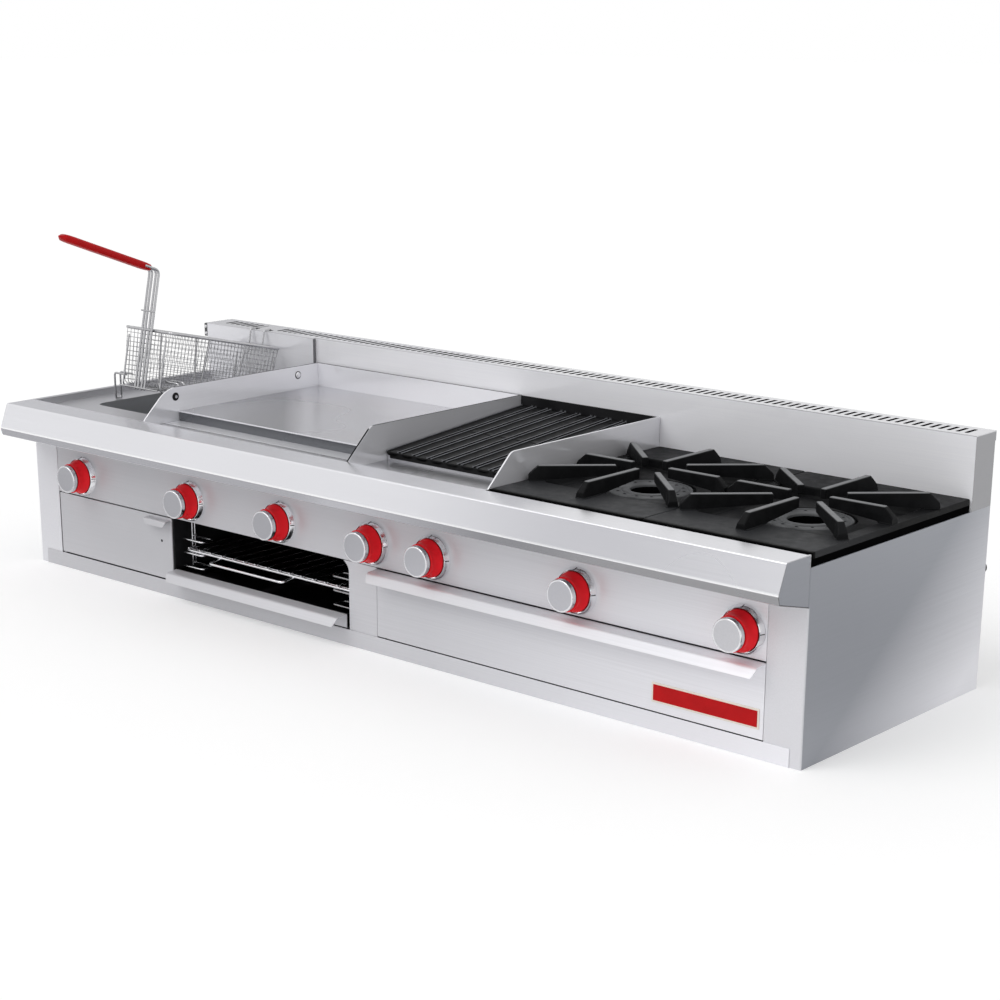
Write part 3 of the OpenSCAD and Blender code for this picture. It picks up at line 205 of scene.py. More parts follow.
def rounded_path(corners, radius, steps=6, closed=False):
    """A path through corners, each replaced by a parabola that leaves its legs at the radius from it."""
    p = np.asarray(corners, float)
    mid = p if closed else p[1:-1]
    back = (np.roll(p, 1, 0) if closed else p[:-2]) - mid
    ahead = (np.roll(p, -1, 0) if closed else p[2:]) - mid
    shorter = np.minimum(np.linalg.norm(back, axis=1), np.linalg.norm(ahead, axis=1))
    reach = np.minimum(np.broadcast_to(radius, shorter.shape), 0.48 * shorter)[:, None]
    start, end = (mid + unit(leg) * reach for leg in (back, ahead))
    t = np.linspace(0, 1, steps)[None, :, None]
    curve = (1 - t) ** 2 * start[:, None] + 2 * t * (1 - t) * mid[:, None] + t**2 * end[:, None]
    curve = curve.reshape(-1, p.shape[1])
    return curve if closed else np.vstack([p[:1], curve, p[-1:]])


def round_rect(low, high, radius, steps=5):
    """A rectangle with round corners: four quarter circles, anticlockwise."""
    turn = np.arange(4)[:, None] * np.pi / 2 + np.linspace(0, np.pi / 2, steps)
    a = np.asarray(low) + radius
    b = np.asarray(high) - radius
    centre = np.array([[b[0], b[1]], [a[0], b[1]], [a[0], a[1]], [b[0], a[1]]])
    return (centre[:, None] + radius * np.stack([np.cos(turn), np.sin(turn)], -1)).reshape(-1, 2)


def corner_normals(outline):
    """Outward mitre vectors of a closed outline: moved by them, every side goes out by one."""
    ahead = unit(np.roll(outline, -1, 0) - outline)
    side = np.stack([ahead[:, 1], -ahead[:, 0]], -1)
    before = np.roll(side, 1, 0)
    mitre = (side + before) / (1 + np.sum(side * before, -1, keepdims=True))
    x, y = outline.T
    return mitre * np.sign(np.sum(x * np.roll(y, -1) - y * np.roll(x, -1)))


def on_axes(level, ring, axes):
    """Rings of points: the level along the first axis, the ring's two coordinates along the others."""
    grid = np.empty(ring.shape[:2] + (3,))
    grid[..., axes[0]] = level[:, None]
    grid[..., axes[1]] = ring[..., 0]
    grid[..., axes[2]] = ring[..., 1]
    return grid


def tilt(angle):
    """A turn about X for points in rows."""
    c, s = np.cos(angle), np.sin(angle)
    return np.array([[1, 0, 0], [0, c, s], [0, -s, c]])


def plate(outline, low, high, edge, axes=(Y, X, Z), steps=4):
    """An outline carried from low to high; at both ends its rim shrinks along a quarter circle."""
    turn = np.linspace(0, np.pi / 2, steps)
    rise = edge * (1 - np.cos(turn))
    inset = edge * (1 - np.sin(turn))
    level = np.concatenate([low + rise, high - rise[::-1]])
    shrink = np.concatenate([inset, inset[::-1]])[:, None, None]
    return loft(on_axes(level, outline - shrink * corner_normals(outline), axes))


def panel(low, high, edge, axes=(Y, X, Z)):
    """A flat sheet between two corners, with its rim rounded."""
    low, high = np.asarray(low, float), np.asarray(high, float)
    flat = list(axes[1:])
    return plate(round_rect(low[flat], high[flat], edge * 1.5, 4), low[axes[0]], high[axes[0]], edge, axes)


def open_box(outline, floor, rim, wall, edge, axes):
    """A box of sheet: the outline runs from a round-edged floor to the rim, and back inside by the wall."""
    turn = np.linspace(0, np.pi / 2, 4)
    up = np.sign(rim - floor)
    level = np.concatenate([floor + up * edge * (1 - np.cos(turn)), [rim, rim, floor + up * wall]])
    shrink = np.concatenate([edge * (1 - np.sin(turn)), [0, wall, wall]])[:, None, None]
    return loft(on_axes(level, outline - shrink * corner_normals(outline), axes))


def bent_sheet(path, low, high, axes=(X, Y, Z), thick=SHEET):
    """A bent sheet: each point of the path carries a thin rectangle from low to high, thick to its left."""
    ahead = unit(np.gradient(path, axis=0))
    inner = path + thick * np.stack([-ahead[:, 1], ahead[:, 0]], -1)
    low, high = (np.broadcast_to(v, len(path)) for v in (low, high))
    grid = np.empty((len(path), 4, 3))
    grid[..., axes[0]] = np.stack([low, high, high, low], -1)
    pair = np.stack([path, path, inner, inner], 1)
    grid[..., axes[1]] = pair[..., 0]
    grid[..., axes[2]] = pair[..., 1]
    return loft(grid)


def round_ends(path, low, high, radius):
    """Ends of a flange along its path: near the path's end both draw in along a quarter circle."""
    run = np.concatenate([[0], np.cumsum(np.linalg.norm(np.diff(path, axis=0), axis=1))])
    past = np.clip(run - (run[-1] - radius), 0, radius)
    inset = radius - np.sqrt(radius**2 - past**2)
    return low + inset, high - inset


def tubes(paths, radius, sides=8, normal=(0, 0, 1), closed=False):
    """Round wires along paths (wires, points, xyz): a circle square to each path, with domed ends. No path
    runs along the normal."""
    paths = np.asarray(paths, float)
    paths = paths[None] if paths.ndim == 2 else paths
    ahead = np.roll(paths, -1, 1) - np.roll(paths, 1, 1)
    if not closed:
        ahead[:, 0] = paths[:, 1] - paths[:, 0]
        ahead[:, -1] = paths[:, -1] - paths[:, -2]
    ahead = unit(ahead)
    size = np.full(paths.shape[1], float(radius))
    if not closed:
        dome = np.array([0.9, 0.55])[None, :, None] * radius
        paths = np.concatenate(
            [paths[:, :1] - ahead[:, :1] * dome, paths, paths[:, -1:] + ahead[:, -1:] * dome[:, ::-1]], 1
        )
        ahead = np.concatenate([ahead[:, :1], ahead[:, :1], ahead, ahead[:, -1:], ahead[:, -1:]], 1)
        size = radius * np.concatenate([[0.43, 0.83], np.ones(len(size)), [0.83, 0.43]])
    side = unit(np.cross(ahead, np.broadcast_to(np.asarray(normal, float), ahead.shape)))
    up = np.cross(side, ahead)
    turn = np.linspace(0, 2 * np.pi, sides, endpoint=False)[:, None]
    ring = np.cos(turn) * side[:, :, None] + np.sin(turn) * up[:, :, None]
    grid = paths[:, :, None] + size[:, None, None] * ring
    wires, rows = grid.shape[:2]
    start = np.arange(wires)[:, None, None] * rows * sides
    quads = (grid_faces(rows, sides, closed)[None] + start).reshape(-1, 4)
    ends = [] if closed else [np.arange(sides)[::-1], np.arange(sides) + (rows - 1) * sides]
    caps = [end + w * rows * sides for w in range(wires) for end in ends]
    return outward(grid.reshape(-1, 3), quads, caps)


def turned(profile, centre, axis=(0, -1, 0), sides=64, ring=False):
    """A profile of (radius, height) turned about an axis through the centre. A ring's profile is closed."""
    axis = np.asarray(axis, float)
    u = np.roll(axis, 1)
    v = np.cross(axis, u)
    turn = np.linspace(0, 2 * np.pi, sides, endpoint=False)[:, None]
    around = np.cos(turn) * u + np.sin(turn) * v
    r, h = np.asarray(profile, float).T
    return loft(np.asarray(centre) + r[:, None, None] * around + h[:, None, None] * axis, ring)


# Finishes


def connect(tree, node, inputs):
    """Sets a node's inputs; each is a value, or a socket to link."""
    for socket, value in inputs.items():
        if isinstance(value, bpy.types.NodeSocket):
            tree.links.new(value, node.inputs[socket])
        else:
            node.inputs[socket].default_value = value


def add_node(tree, kind, inputs, **settings):
    """A shader node with its settings and inputs."""
    node = tree.nodes.new("ShaderNode" + kind)
    for name, value in settings.items():
        setattr(node, name, value)
    connect(tree, node, inputs)
    return node


def noise(tree, vector, detail, roughness=0.55):
    """A noise of scale one on a vector socket."""
    inputs = {"Vector": vector, "Scale": 1.0, "Detail": detail, "Roughness": roughness}
    return add_node(tree, "TexNoise", inputs).outputs["Fac"]


def effect_group(name, outputs):
    """An empty shared effect. Returns its tree, its end node and the stretched Object coordinates."""
    group = bpy.data.node_groups.new(name, "ShaderNodeTree")
    group.interface.new_socket("Stretch", in_out="INPUT", socket_type="NodeSocketVector")
    for label in outputs:
        group.interface.new_socket(label, in_out="OUTPUT", socket_type="NodeSocketFloat")
    stretch = group.nodes.new("NodeGroupInput").outputs["Stretch"]
    place = add_node(group, "TexCoord", {}).outputs["Object"]
    times = add_node(group, "VectorMath", {0: place, 1: stretch}, operation="MULTIPLY")
    return group, group.nodes.new("NodeGroupOutput"), times.outputs["Vector"]


def make_groups():
    """The shared effects: brushed grain, soft patches and a cast skin."""
    grain, end, place = effect_group("brushed_grain", ["Grain"])
    connect(grain, end, {"Grain": noise(grain, place, 3.0, 0.7)})

    patches, end, place = effect_group("soft_patches", ["Patch"])
    inputs = {"Value": noise(patches, place, 1.5), "From Min": 0.15, "From Max": 0.85}
    soft = add_node(patches, "MapRange", inputs, interpolation_type="SMOOTHSTEP")
    connect(patches, end, {"Patch": soft.outputs["Result"]})

    skin, end, place = effect_group("cast_skin", ["Height", "Mottle"])
    coarse = add_node(skin, "VectorMath", {0: place, "Scale": 0.06}, operation="SCALE").outputs["Vector"]
    connect(skin, end, {"Height": noise(skin, place, 3.0), "Mottle": noise(skin, coarse, 4.0)})


class Finish:
    """A material and the few node steps that the finishes share. Places are in millimetres."""

    EFFECTS = {
        "Grain": "brushed_grain", "Patch": "soft_patches", "Height": "cast_skin", "Mottle": "cast_skin",
    }  # fmt: skip

    def __init__(self, name, metallic, roughness, gloss=0.5):
        material = bpy.data.materials.new("look_" + name)
        material.use_nodes = True
        self.tree = material.node_tree
        self.shader = self.tree.nodes["Principled BSDF"]
        self.feed(Metallic=metallic, Roughness=roughness)
        connect(self.tree, self.shader, {"Specular IOR Level": gloss})

    def feed(self, **inputs):
        """Values or links into the shader."""
        connect(self.tree, self.shader, inputs)

    @property
    def colour(self):
        """The socket that colours the shader."""
        return self.shader.inputs["Base Color"].links[0].from_socket

    @colour.setter
    def colour(self, socket):
        connect(self.tree, self.shader, {"Base Color": socket})

    def effect(self, output, stretch):
        """An output of a shared effect, with one stretch or one for each axis."""
        group = bpy.data.node_groups[self.EFFECTS[output]]
        inputs = {"Stretch": np.broadcast_to(stretch, 3).tolist()}
        return add_node(self.tree, "Group", inputs, node_tree=group).outputs[output]

    def spread(self, value, low, high, to_low=0, to_high=1):
        """A value spread from one range to another."""
        inputs = {"Value": value, "From Min": low, "From Max": high, "To Min": to_low, "To Max": to_high}
        return add_node(self.tree, "MapRange", inputs).outputs["Result"]

    def slant(self, direction, low, high):
        """0 to 1 along a direction of Object space."""
        inputs = {0: add_node(self.tree, "TexCoord", {}).outputs["Object"], 1: direction}
        along = add_node(self.tree, "VectorMath", inputs, operation="DOT_PRODUCT").outputs["Value"]
        return self.spread(along, low * MM, high * MM)

    def height(self, axis, low, high):
        """0 to 1 along an Object axis between two places."""
        return self.slant(tuple(np.eye(3)[axis].tolist()), low, high)

    def within(self, low, high, soft=0.2):
        """1 inside a box of Object space and 0 outside it."""
        value = 1
        for axis in (X, Y, Z):
            value = self.times(value, self.height(axis, low[axis] - soft, low[axis]))
            value = self.times(value, self.height(axis, high[axis] + soft, high[axis]))
        return value

    def times(self, first, second):
        """The product of two values."""
        return add_node(self.tree, "Math", {0: first, 1: second}, operation="MULTIPLY").outputs["Value"]

    def mix(self, factor, first, second, blend="MIX"):
        """A blend of two colours; each is a grey, a colour or a socket."""
        inputs = {0: factor}
        for socket, value in ((6, first), (7, second)):
            is_socket = isinstance(value, bpy.types.NodeSocket)
            inputs[socket] = value if is_socket else (*np.broadcast_to(value, 3).tolist(), 1)
        return add_node(self.tree, "Mix", inputs, data_type="RGBA", blend_type=blend).outputs[2]

    def tint(self, factor, first, second):
        """The finish's colour times a blend of two colours."""
        self.colour = self.mix(1, self.colour, self.mix(factor, first, second), "MULTIPLY")

    def cover(self, factor, second):
        """Another colour over the finish's own, where the factor is 1."""
        self.colour = self.mix(factor, self.colour, second)

    def bump(self, value, distance, strength):
        """A bump of the surface from a height."""
        inputs = {"Height": value, "Distance": distance * MM, "Strength": strength}
        self.feed(Normal=add_node(self.tree, "Bump", inputs).outputs["Normal"])


def shade(base, *factors):
    """A colour made lighter or darker, by one factor or one for each channel."""
    return tuple(np.minimum(1.0, np.array(base) * (factors if len(factors) > 1 else factors[0])).tolist())


ALONG_X = (3.0, 420.0, 420.0)
ALONG_Y = (420.0, 3.0, 420.0)


def steel(name, base, roughness, stretch, grain_depth=0.05, metallic=0.9):
    """Brushed sheet: fine grain in colour and height, soft patches in roughness."""
    finish = Finish(name, metallic, roughness)
    grain = finish.effect("Grain", stretch)
    patch = finish.effect("Patch", (2.3, 2.3, 4.1))
    streaks = finish.mix(finish.spread(grain, 0.3, 0.7), shade(base, 0.955), shade(base, 1.035))
    finish.colour = finish.mix(patch, shade(base, 0.975), streaks)
    finish.feed(Roughness=finish.spread(patch, 0, 1, roughness * 0.85, roughness * 1.2))
    finish.bump(grain, 0.2, grain_depth)
    return finish


def mottled(name, effect, colours, roughness, metallic=0.0, gloss=0.5, span=(0, 1), skin=None):
    """A finish that wanders with an effect between two colours and two roughnesses. A skin is a bump: its
    stretch, depth and strength."""
    finish = Finish(name, metallic, roughness[0], gloss)
    wander = finish.spread(finish.effect(*effect), *span)
    finish.colour = finish.mix(wander, *colours)
    finish.feed(Roughness=finish.spread(wander, 0, 1, *roughness))
    if skin:
        finish.bump(finish.effect("Height", skin[0]), *skin[1:])
    return finish


def cast_iron(name, base, roughness, gloss=0.12):
    """Seasoned iron: sandy skin, mottled colour."""
    ends = shade(base, 0.7), shade(base, 1.35)
    rough = roughness * 0.85, roughness * 1.2
    return mottled(name, ("Mottle", 900), ends, rough, 0.0, gloss, (0.3, 0.7), (650, 0.35, 0.4))


def plated(name, base, roughness):
    """Plated wire or chrome: bright, with a faint haze."""
    ends = shade(base, 0.93), shade(base, 1.03)
    return mottled(name, ("Patch", 70), ends, (roughness * 0.8, roughness * 1.3), 1.0)


def moulded(name, base):
    """Moulded plastic with a fine matt skin."""
    ends = shade(base, 0.9), shade(base, 1.08)
    return mottled(name, ("Patch", 45), ends, (0.42, 0.42), 0.0, 0.12, skin=(1500, 0.06, 0.25))


def plain_finishes(colours):
    """The finishes that are the same all over."""
    steel("satin_sheet", colours.satin, 0.22, ALONG_X, 0.03, 0.5)
    steel("deck_steel", colours.deck, 0.30, ALONG_X)
    steel("plain_steel", shade(colours.front, 0.82), 0.38, 60)
    steel("knob_face", shade(colours.front, 0.88), 0.3, 260)
    cast_iron("cast_iron", colours.iron, 0.52)
    # a pale copy of the iron for painted highlights on the grate's slats
    cast_iron("highlight_iron", shade(colours.iron, 24.0), 0.5)
    cast_iron("black_pipe", shade(colours.iron, 1.6), 0.45)
    plated("bright_wire", colours.wire, 0.2)
    plated("basket_wire", shade(colours.wire, 0.6), 0.14)
    # a darker copy of the wire: the basket's net, and painted shade on the broiler's right ladders
    plated("net_wire", shade(colours.wire, 0.42), 0.25)
    plated("chrome", colours.chrome, 0.19)
    plated("dial_steel", (0.94, 0.94, 0.955), 0.12)
    plated("pale_border", (0.80, 0.74, 0.66), 0.4)
    moulded("red_plastic", shade(colours.red, 0.92))
    # painted light: a lighter copy of the red plastic for the knob rings
    moulded("ring_red_painted_light", shade(colours.red, 1.65, 2.4, 2.9))
    # black for soot and for painted shade: strips, bands, films and discs put in the shade of gaps, slots and
    # holes
    ends = shade(colours.enamel, 0.1), shade(colours.enamel, 0.3)
    mottled("soot_and_shade_black", ("Mottle", 300), ends, (0.9, 0.9), gloss=0.0)
    ends = shade(colours.enamel, 0.7), shade(colours.enamel, 1.5)
    mottled("black_enamel", ("Patch", 16), ends, (0.28, 0.5), gloss=0.1)
    ends = shade(colours.ring, 0.7), shade(colours.ring, 1.5)
    mottled("burner_iron", ("Mottle", 700), ends, (0.5, 0.5), 0.35, skin=(700, 0.3, 0.35))
    mottled("brass", ("Patch", 60), ((0.42, 0.27, 0.09), (0.60, 0.42, 0.17)), (0.22, 0.4), 1.0)


def front_steel(colours):
    """Brushed sheet of the front with a painted reflection gradient: darker on the left, paler towards the
    right.
    """
    finish = steel("front_steel", colours.front, 0.36, ALONG_X, 0.05, 0.22)
    # painted reflection gradient: the left part darkened and the right part lightened
    left = finish.mix(finish.height(X, -600, -100), 0.86, 0.94)
    finish.tint(finish.height(X, 150, 950), left, 1.42)


def rail_steel(colours):
    """Bright brushed sheet with painted shade on the slope towards the right, a painted highlight along its
    lower edge and painted shade on the lip below it, deeper towards the right.
    """
    edge = box("front_rail")[1][Z] - RAIL_DROP
    finish = steel("rail_steel", colours.rail, 0.25, ALONG_X, 0.03)
    # painted shade: the slope darkened towards the right
    finish.tint(finish.times(finish.height(X, 200, 700), finish.height(Z, edge + 45, edge + 43)), 1, 0.84)
    # painted highlight: a pale band along the slope's lower edge
    finish.cover(finish.height(Z, edge + 4, edge + 1), (0.93, 0.93, 0.94))
    # painted shade: the lip below the edge, lighter on the left and darker towards the right
    painted_lip_shade = finish.mix(finish.height(X, 0, 360), shade(colours.rail, 0.86), shade(colours.rail, 0.44))
    finish.cover(finish.height(Z, edge + 0.2, edge - 0.6), painted_lip_shade)


def guard_steel(colours):
    """Satin sheet, dark along its upper edge on the guards beside the griddle."""
    high = box("divider_guards")[1]
    finish = steel("guard_steel", colours.satin, 0.16, ALONG_Y, 0.03, 0.45)
    edge = finish.height(Z, high[Z] - 0.9, high[Z] - 0.5)
    finish.cover(finish.times(edge, finish.height(X, high[X] - 10, high[X] - 20)), (0.10, 0.10, 0.105))


def side_steel(colours):
    """Brushed sheet of the ends with painted reflection shade: a cool grey at the front top that pales
    towards the low rear, and front posts painted paler like the lit front.
    """
    finish = steel("side_steel", colours.front, 0.4, ALONG_Y, 0.05, 0.15)
    # painted shade: darker at the front top, paler towards the low rear, as the reflections fall
    light = finish.mix(finish.slant((0, 1, -1.3), -230, 170), (0.53, 0.55, 0.58), 1.38)
    rail = box("front_rail")[0][Z]
    # painted light: the folded front posts paler than the side
    post = finish.times(finish.height(Y, FRONT_Y + 3, FRONT_Y + 2), finish.height(Z, rail, rail - 1))
    finish.tint(post, light, 1.12)


def griddle_steel(colours):
    """A ground plate: fine scratches, brown-grey heat tint, a painted dark reflection over its left part and
    dark mill-scaled sides.
    """
    low, high = box("griddle_plate")
    lean = 1.045
    corner = low[X] + lean * low[Y]
    finish = steel("griddle_steel", colours.griddle, 0.26, (14.0, 380.0, 50.0), 0.03)
    finish.cover(finish.effect("Patch", (5.0, 6.5, 1.0)), shade(colours.griddle, 0.97, 0.95, 0.93))
    # painted reflection: a dark band over the left part, slanted as the reflection runs
    painted_dark_reflection = finish.slant((1, lean, 0), corner + 100, corner + 290)
    painted_dark_reflection = finish.mix(painted_dark_reflection, shade(colours.griddle, 0.68), shade(colours.griddle, 0.46))
    finish.cover(finish.slant((1, lean, 0), corner + 345, corner + 285), painted_dark_reflection)
    finish.cover(finish.height(Z, high[Z] - 1.4, high[Z] - 2.0), (0.15, 0.155, 0.165))


def tank_steel(colours):
    """Oiled sheet, darker towards the bottom."""
    low, high = box("fryer_tank")
    ends = shade(colours.tank, 0.85), shade(colours.tank, 1.25)
    finish = mottled("tank_steel", ("Patch", (9.0, 9.0, 14.0)), ends, (0.24, 0.4), 0.35)
    finish.cover(finish.height(Z, high[Z], low[Z]), shade(colours.tank, 0.5))


def top_iron(colours):
    """The burner tops' iron: a painted sheen on the plate in front, painted black shade on its front edge,
    and black fins with a painted highlight on their upper faces.
    """
    low, high = box("burner_top_left")
    face = high[Z] - FIN_RISE
    finish = cast_iron("top_iron", colours.iron, 0.46, 0.06)
    # painted highlight on the fins' upper faces
    fins = finish.mix(finish.height(Z, high[Z] - 1.1, high[Z] - 0.3), finish.colour, (0.20, 0.203, 0.21))
    # painted sheen: the plate greyed in front, fading to black towards the rear
    front = finish.mix(finish.effect("Patch", 7), (0.024, 0.025, 0.027), (0.040, 0.041, 0.044))
    finish.cover(finish.height(Y, low[Y] + 240, low[Y] + 40), front)
    # painted shade: the front edge and skirt nearly black
    finish.cover(finish.height(Y, low[Y] + 8, low[Y] + 6), shade(colours.iron, 0.2))
    finish.cover(finish.height(Z, face + 0.5, face + 2.0), fins)


def soot_and_shade_inside(finish, colours, low, high, metallic):
    """Soot and painted shade on a sheet of the given metallic where it lies inside a box."""
    inside = finish.within(low, high)
    finish.cover(inside, shade(colours.enamel, 1.2))
    finish.feed(Metallic=finish.spread(inside, 0, 1, metallic, 0))


def flue_steel(colours):
    """The fryer's flue: brushed sheet, a strap at its left end painted dark as in shadow, painted shade on
    its right end, and soot with painted shade inside.
    """
    low, high = box("fryer_flue")
    finish = steel("flue_steel", colours.satin, 0.26, ALONG_X, 0.03)
    soot_and_shade_inside(finish, colours, low + [12, 1, 0], high - [3, 1, 0], 0.5)
    # painted shade: the strap at the left end darkened as if in shadow
    finish.cover(finish.height(X, low[X] + 9, low[X] + 8.8), (0.10, 0.102, 0.105))
    # painted shade on the right end face
    finish.cover(finish.height(X, high[X] - 0.5, high[X] - 0.2), shade(colours.front, 0.3))


def splash_steel(colours):
    """The riser: satin sheet in front, painted shade towards the left and on its right end, and soot with
    painted shade inside.
    """
    low, high = box("back_splash")
    finish = steel("splash_steel", shade(colours.satin, 1.06), 0.10, ALONG_X, 0.02)
    soot_and_shade_inside(finish, colours, low + [3, 1, 0], high - [3, 1, 0], 0.08)
    # painted shade: darker towards the left
    finish.tint(finish.height(X, -400, 300), 0.88, 1)
    # painted shade on the right end face
    finish.cover(finish.height(X, high[X] - 0.5, high[X] - 0.2), shade(colours.front, 0.5))


def louver_steel(colours):
    """The flues' cap: satin sheet, with soot and painted shade in its slots and below."""
    low, high = box("louver_cap")
    finish = steel("louver_steel", shade(colours.satin, 0.74), 0.26, ALONG_X, 0.03)
    soot_and_shade_inside(finish, colours, low + [3, 12, 0], high - [3, 6, 0.35], 0.3)


def soot_and_shade_steel(colours):
    """The tray's inside and the cabinet's inner sheets: steel under baked-on soot, also dark as painted shade
    inside the cabinet.
    """
    finish = steel("soot_and_shade_steel", shade(colours.front, 0.25), 0.3, ALONG_Y)
    finish.cover(finish.spread(finish.effect("Mottle", 220), 0.7, 0.5), 0.012)


FINISHES = (
    plain_finishes, front_steel, rail_steel, guard_steel, side_steel, griddle_steel, tank_steel, top_iron,
    flue_steel, splash_steel, louver_steel, soot_and_shade_steel,
)  # fmt: skip


def make_piece(name, surfaces, body, stands_for, sharp=32):
    """One object from closed surfaces by their finish. It rides on a body and stands for CAD nodes."""
    points, faces, kinds = [], [], []
    mesh = bpy.data.meshes.new(name)
    for kind, (finish, parts) in enumerate(surfaces.items()):
        mesh.materials.append(bpy.data.materials["look_" + finish])
        for spots, corners in parts:
            faces += [[c + len(points) for c in face] for face in corners]
            kinds += [kind] * len(corners)
            points += (spots * MM).tolist()
    mesh.from_pydata(points, [], faces)
    mesh.polygons.foreach_set("material_index", kinds)
    mesh.polygons.foreach_set("use_smooth", np.ones(len(faces), bool))
    mesh.set_sharp_from_angle(angle=math.radians(sharp))
    piece = bpy.data.objects.new(name, mesh)
    bpy.context.scene.collection.objects.link(piece)
    even = piece.modifiers.new("even_shading", "WEIGHTED_NORMAL")
    even.keep_sharp = True
    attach(piece, body)
    if stands_for:
        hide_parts(*stands_for)


# Pieces


class RANGE_OT_finishes(bpy.types.Operator):
    """Makes the finishes and gives them to the CAD nodes that stay in view."""

    bl_idname = "gas_range.finishes"
    bl_label = "Finishes"
    bl_options = {"REGISTER"}
    KEPT = {
        "plain_steel": ("rear_panel", "drawer_runners", "door_hinges", "fryer_fittings"),
        # painted shade: the base pan and partitions inside the cabinet darkened as the shade there
        "soot_and_shade_steel": ("base_pan", "bay_partitions"),
        "deck_steel": ("fryer_deck", "front_deck", "grill_firebox"),
        "splash_steel": ("back_splash",),
        "louver_steel": ("louver_cap",),
        "flue_steel": ("fryer_flue",),
        "tank_steel": ("fryer_tank",),
        "black_enamel": ("top_frame", "grill_rear_wall", "broiler_liner"),
        "burner_iron": ("tube_burners", "grill_radiants", "broiler_burner"),
        "black_pipe": ("gas_manifold", "gas_inlet"),
        "brass": ("gas_valves",),
    }

    def execute(self, context):
        make_groups()
        for make in FINISHES:
            make(context.scene.range_colours)
        for finish, nodes in self.KEPT.items():
            for slot in (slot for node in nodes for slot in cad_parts[node].material_slots):
                slot.link = "OBJECT"
                slot.material = bpy.data.materials["look_" + finish]
        return {"FINISHED"}


class PieceOperator:
    """What the builders share: the sizes from the scene, in millimetres."""

    bl_options = {"REGISTER"}

    def execute(self, context):
        chosen = context.scene.range_sizes
        sizes = {name: getattr(chosen, name) / MM for name in RangeSizes.__annotations__}
        self.build(SimpleNamespace(**sizes))
        return {"FINISHED"}


class RANGE_OT_cabinet(PieceOperator, bpy.types.Operator):
    """Side panels folded round the front corners, control panel, kick strip and middle post."""

    bl_idname = "gas_range.cabinet"
    bl_label = "Cabinet"
    CUT = np.array([13, 11])  # the corner that the middle post lacks at the cavity

    def build(self, sizes):
        """Side panels are bent paths carried up. Flat sheets are outlines carried through their depth."""
        for name, flip in (("left_side_panel", -1), ("right_side_panel", 1)):
            low, high = box(name)
            outer, inner = (low[X], high[X]) if flip < 0 else (high[X], low[X])
            path = rounded_path([(inner, low[Y]), (outer, low[Y]), (outer, high[Y])], sizes.bend)
            sheet = bent_sheet(path, low[Z], high[Z], (Z, X, Y), SHEET * flip)
            make_piece(name + "_sheet", {"side_steel": [sheet]}, "cabinet", [name])
        gap = np.array([sizes.panel_gap, 0, sizes.panel_gap])
        for name, below, above in (("control_panel", gap, gap), ("kick_strip", 0, gap * [0, 0, 1])):
            low, high = box(name)
            sheet = panel(low + below, high - above, sizes.seam)
            make_piece(name + "_sheet", {"front_steel": [sheet]}, "cabinet", [name])
        low, high = box("mid_post")
        edge, top = box("broiler_liner")[1][X], high[Z]
        cut = [(edge - self.CUT[0], top), (edge, top - self.CUT[1])]
        outline = [(edge, low[Z]), (high[X], low[Z]), (high[X], top), *cut]
        face = plate(rounded_path(outline, [1, 1, 1, 2, 9], closed=True), low[Y], low[Y] + SHEET, 0.7)
        fold = panel((high[X] - SHEET, low[Y] + SHEET, low[Z]), high, 0.4)
        make_piece("mid_post_sheet", {"front_steel": [face, fold]}, "cabinet", ["mid_post"])


class RANGE_OT_rail(PieceOperator, bpy.types.Operator):
    """The full-width front rail with its end caps, and black strips of painted shade below and behind it."""

    bl_idname = "gas_range.rail"
    bl_label = "Front rail"
    SLOPE, LIP = 18.3, (4.3, 59.9)  # run of the slope; the lip's lower edge from the front and from the top
    CAP_INSET, JOINT_INSET = 0.3, 68  # of the end caps and of the lower joint, from the rail's ends

    def build(self, sizes):
        """The sheet is a bent path carried across. Its end caps are that path's outline, drawn in."""
        low, high = box("front_rail")
        back, front, top, root = high[Y], low[Y], high[Z], low[Z]
        corners = np.array([
            (back, box("left_side_panel")[1][Z]), (back, top), (front + self.SLOPE, top),
            (front, top - RAIL_DROP), (front + self.LIP[0], top - self.LIP[1]), (back, root),
        ])  # fmt: skip
        sheet = bent_sheet(rounded_path(corners, [1.5, sizes.rail_bend, 1.5, 1.5], 8), low[X], high[X])
        outline = corners - 0.7 * corner_normals(corners)
        ends = (low[X] + self.CAP_INSET, high[X] - self.CAP_INSET - SHEET)
        caps = [plate(outline, x, x + SHEET, 0.2, (X, Y, Z), 2) for x in ends]
        # painted shade: black strips under the rail's root and in the gap behind its top
        start, end = low[X] + self.JOINT_INSET, high[X] - self.JOINT_INSET
        below = panel((start, back - 0.5, root - 1.6), (end, back, root + 0.4), 0.2)
        left, right = box("burner_top_left")[0], box("burner_top_right")[1][X]
        behind = panel((left[X], back - 5, top - 0.8), (right, left[Y] - 0.4, top + 0.15), 0.1)
        surfaces = {"rail_steel": [sheet], "side_steel": caps, "soot_and_shade_black": [below, behind]}
        make_piece("front_rail_sheet", surfaces, "cabinet", ["front_rail"])


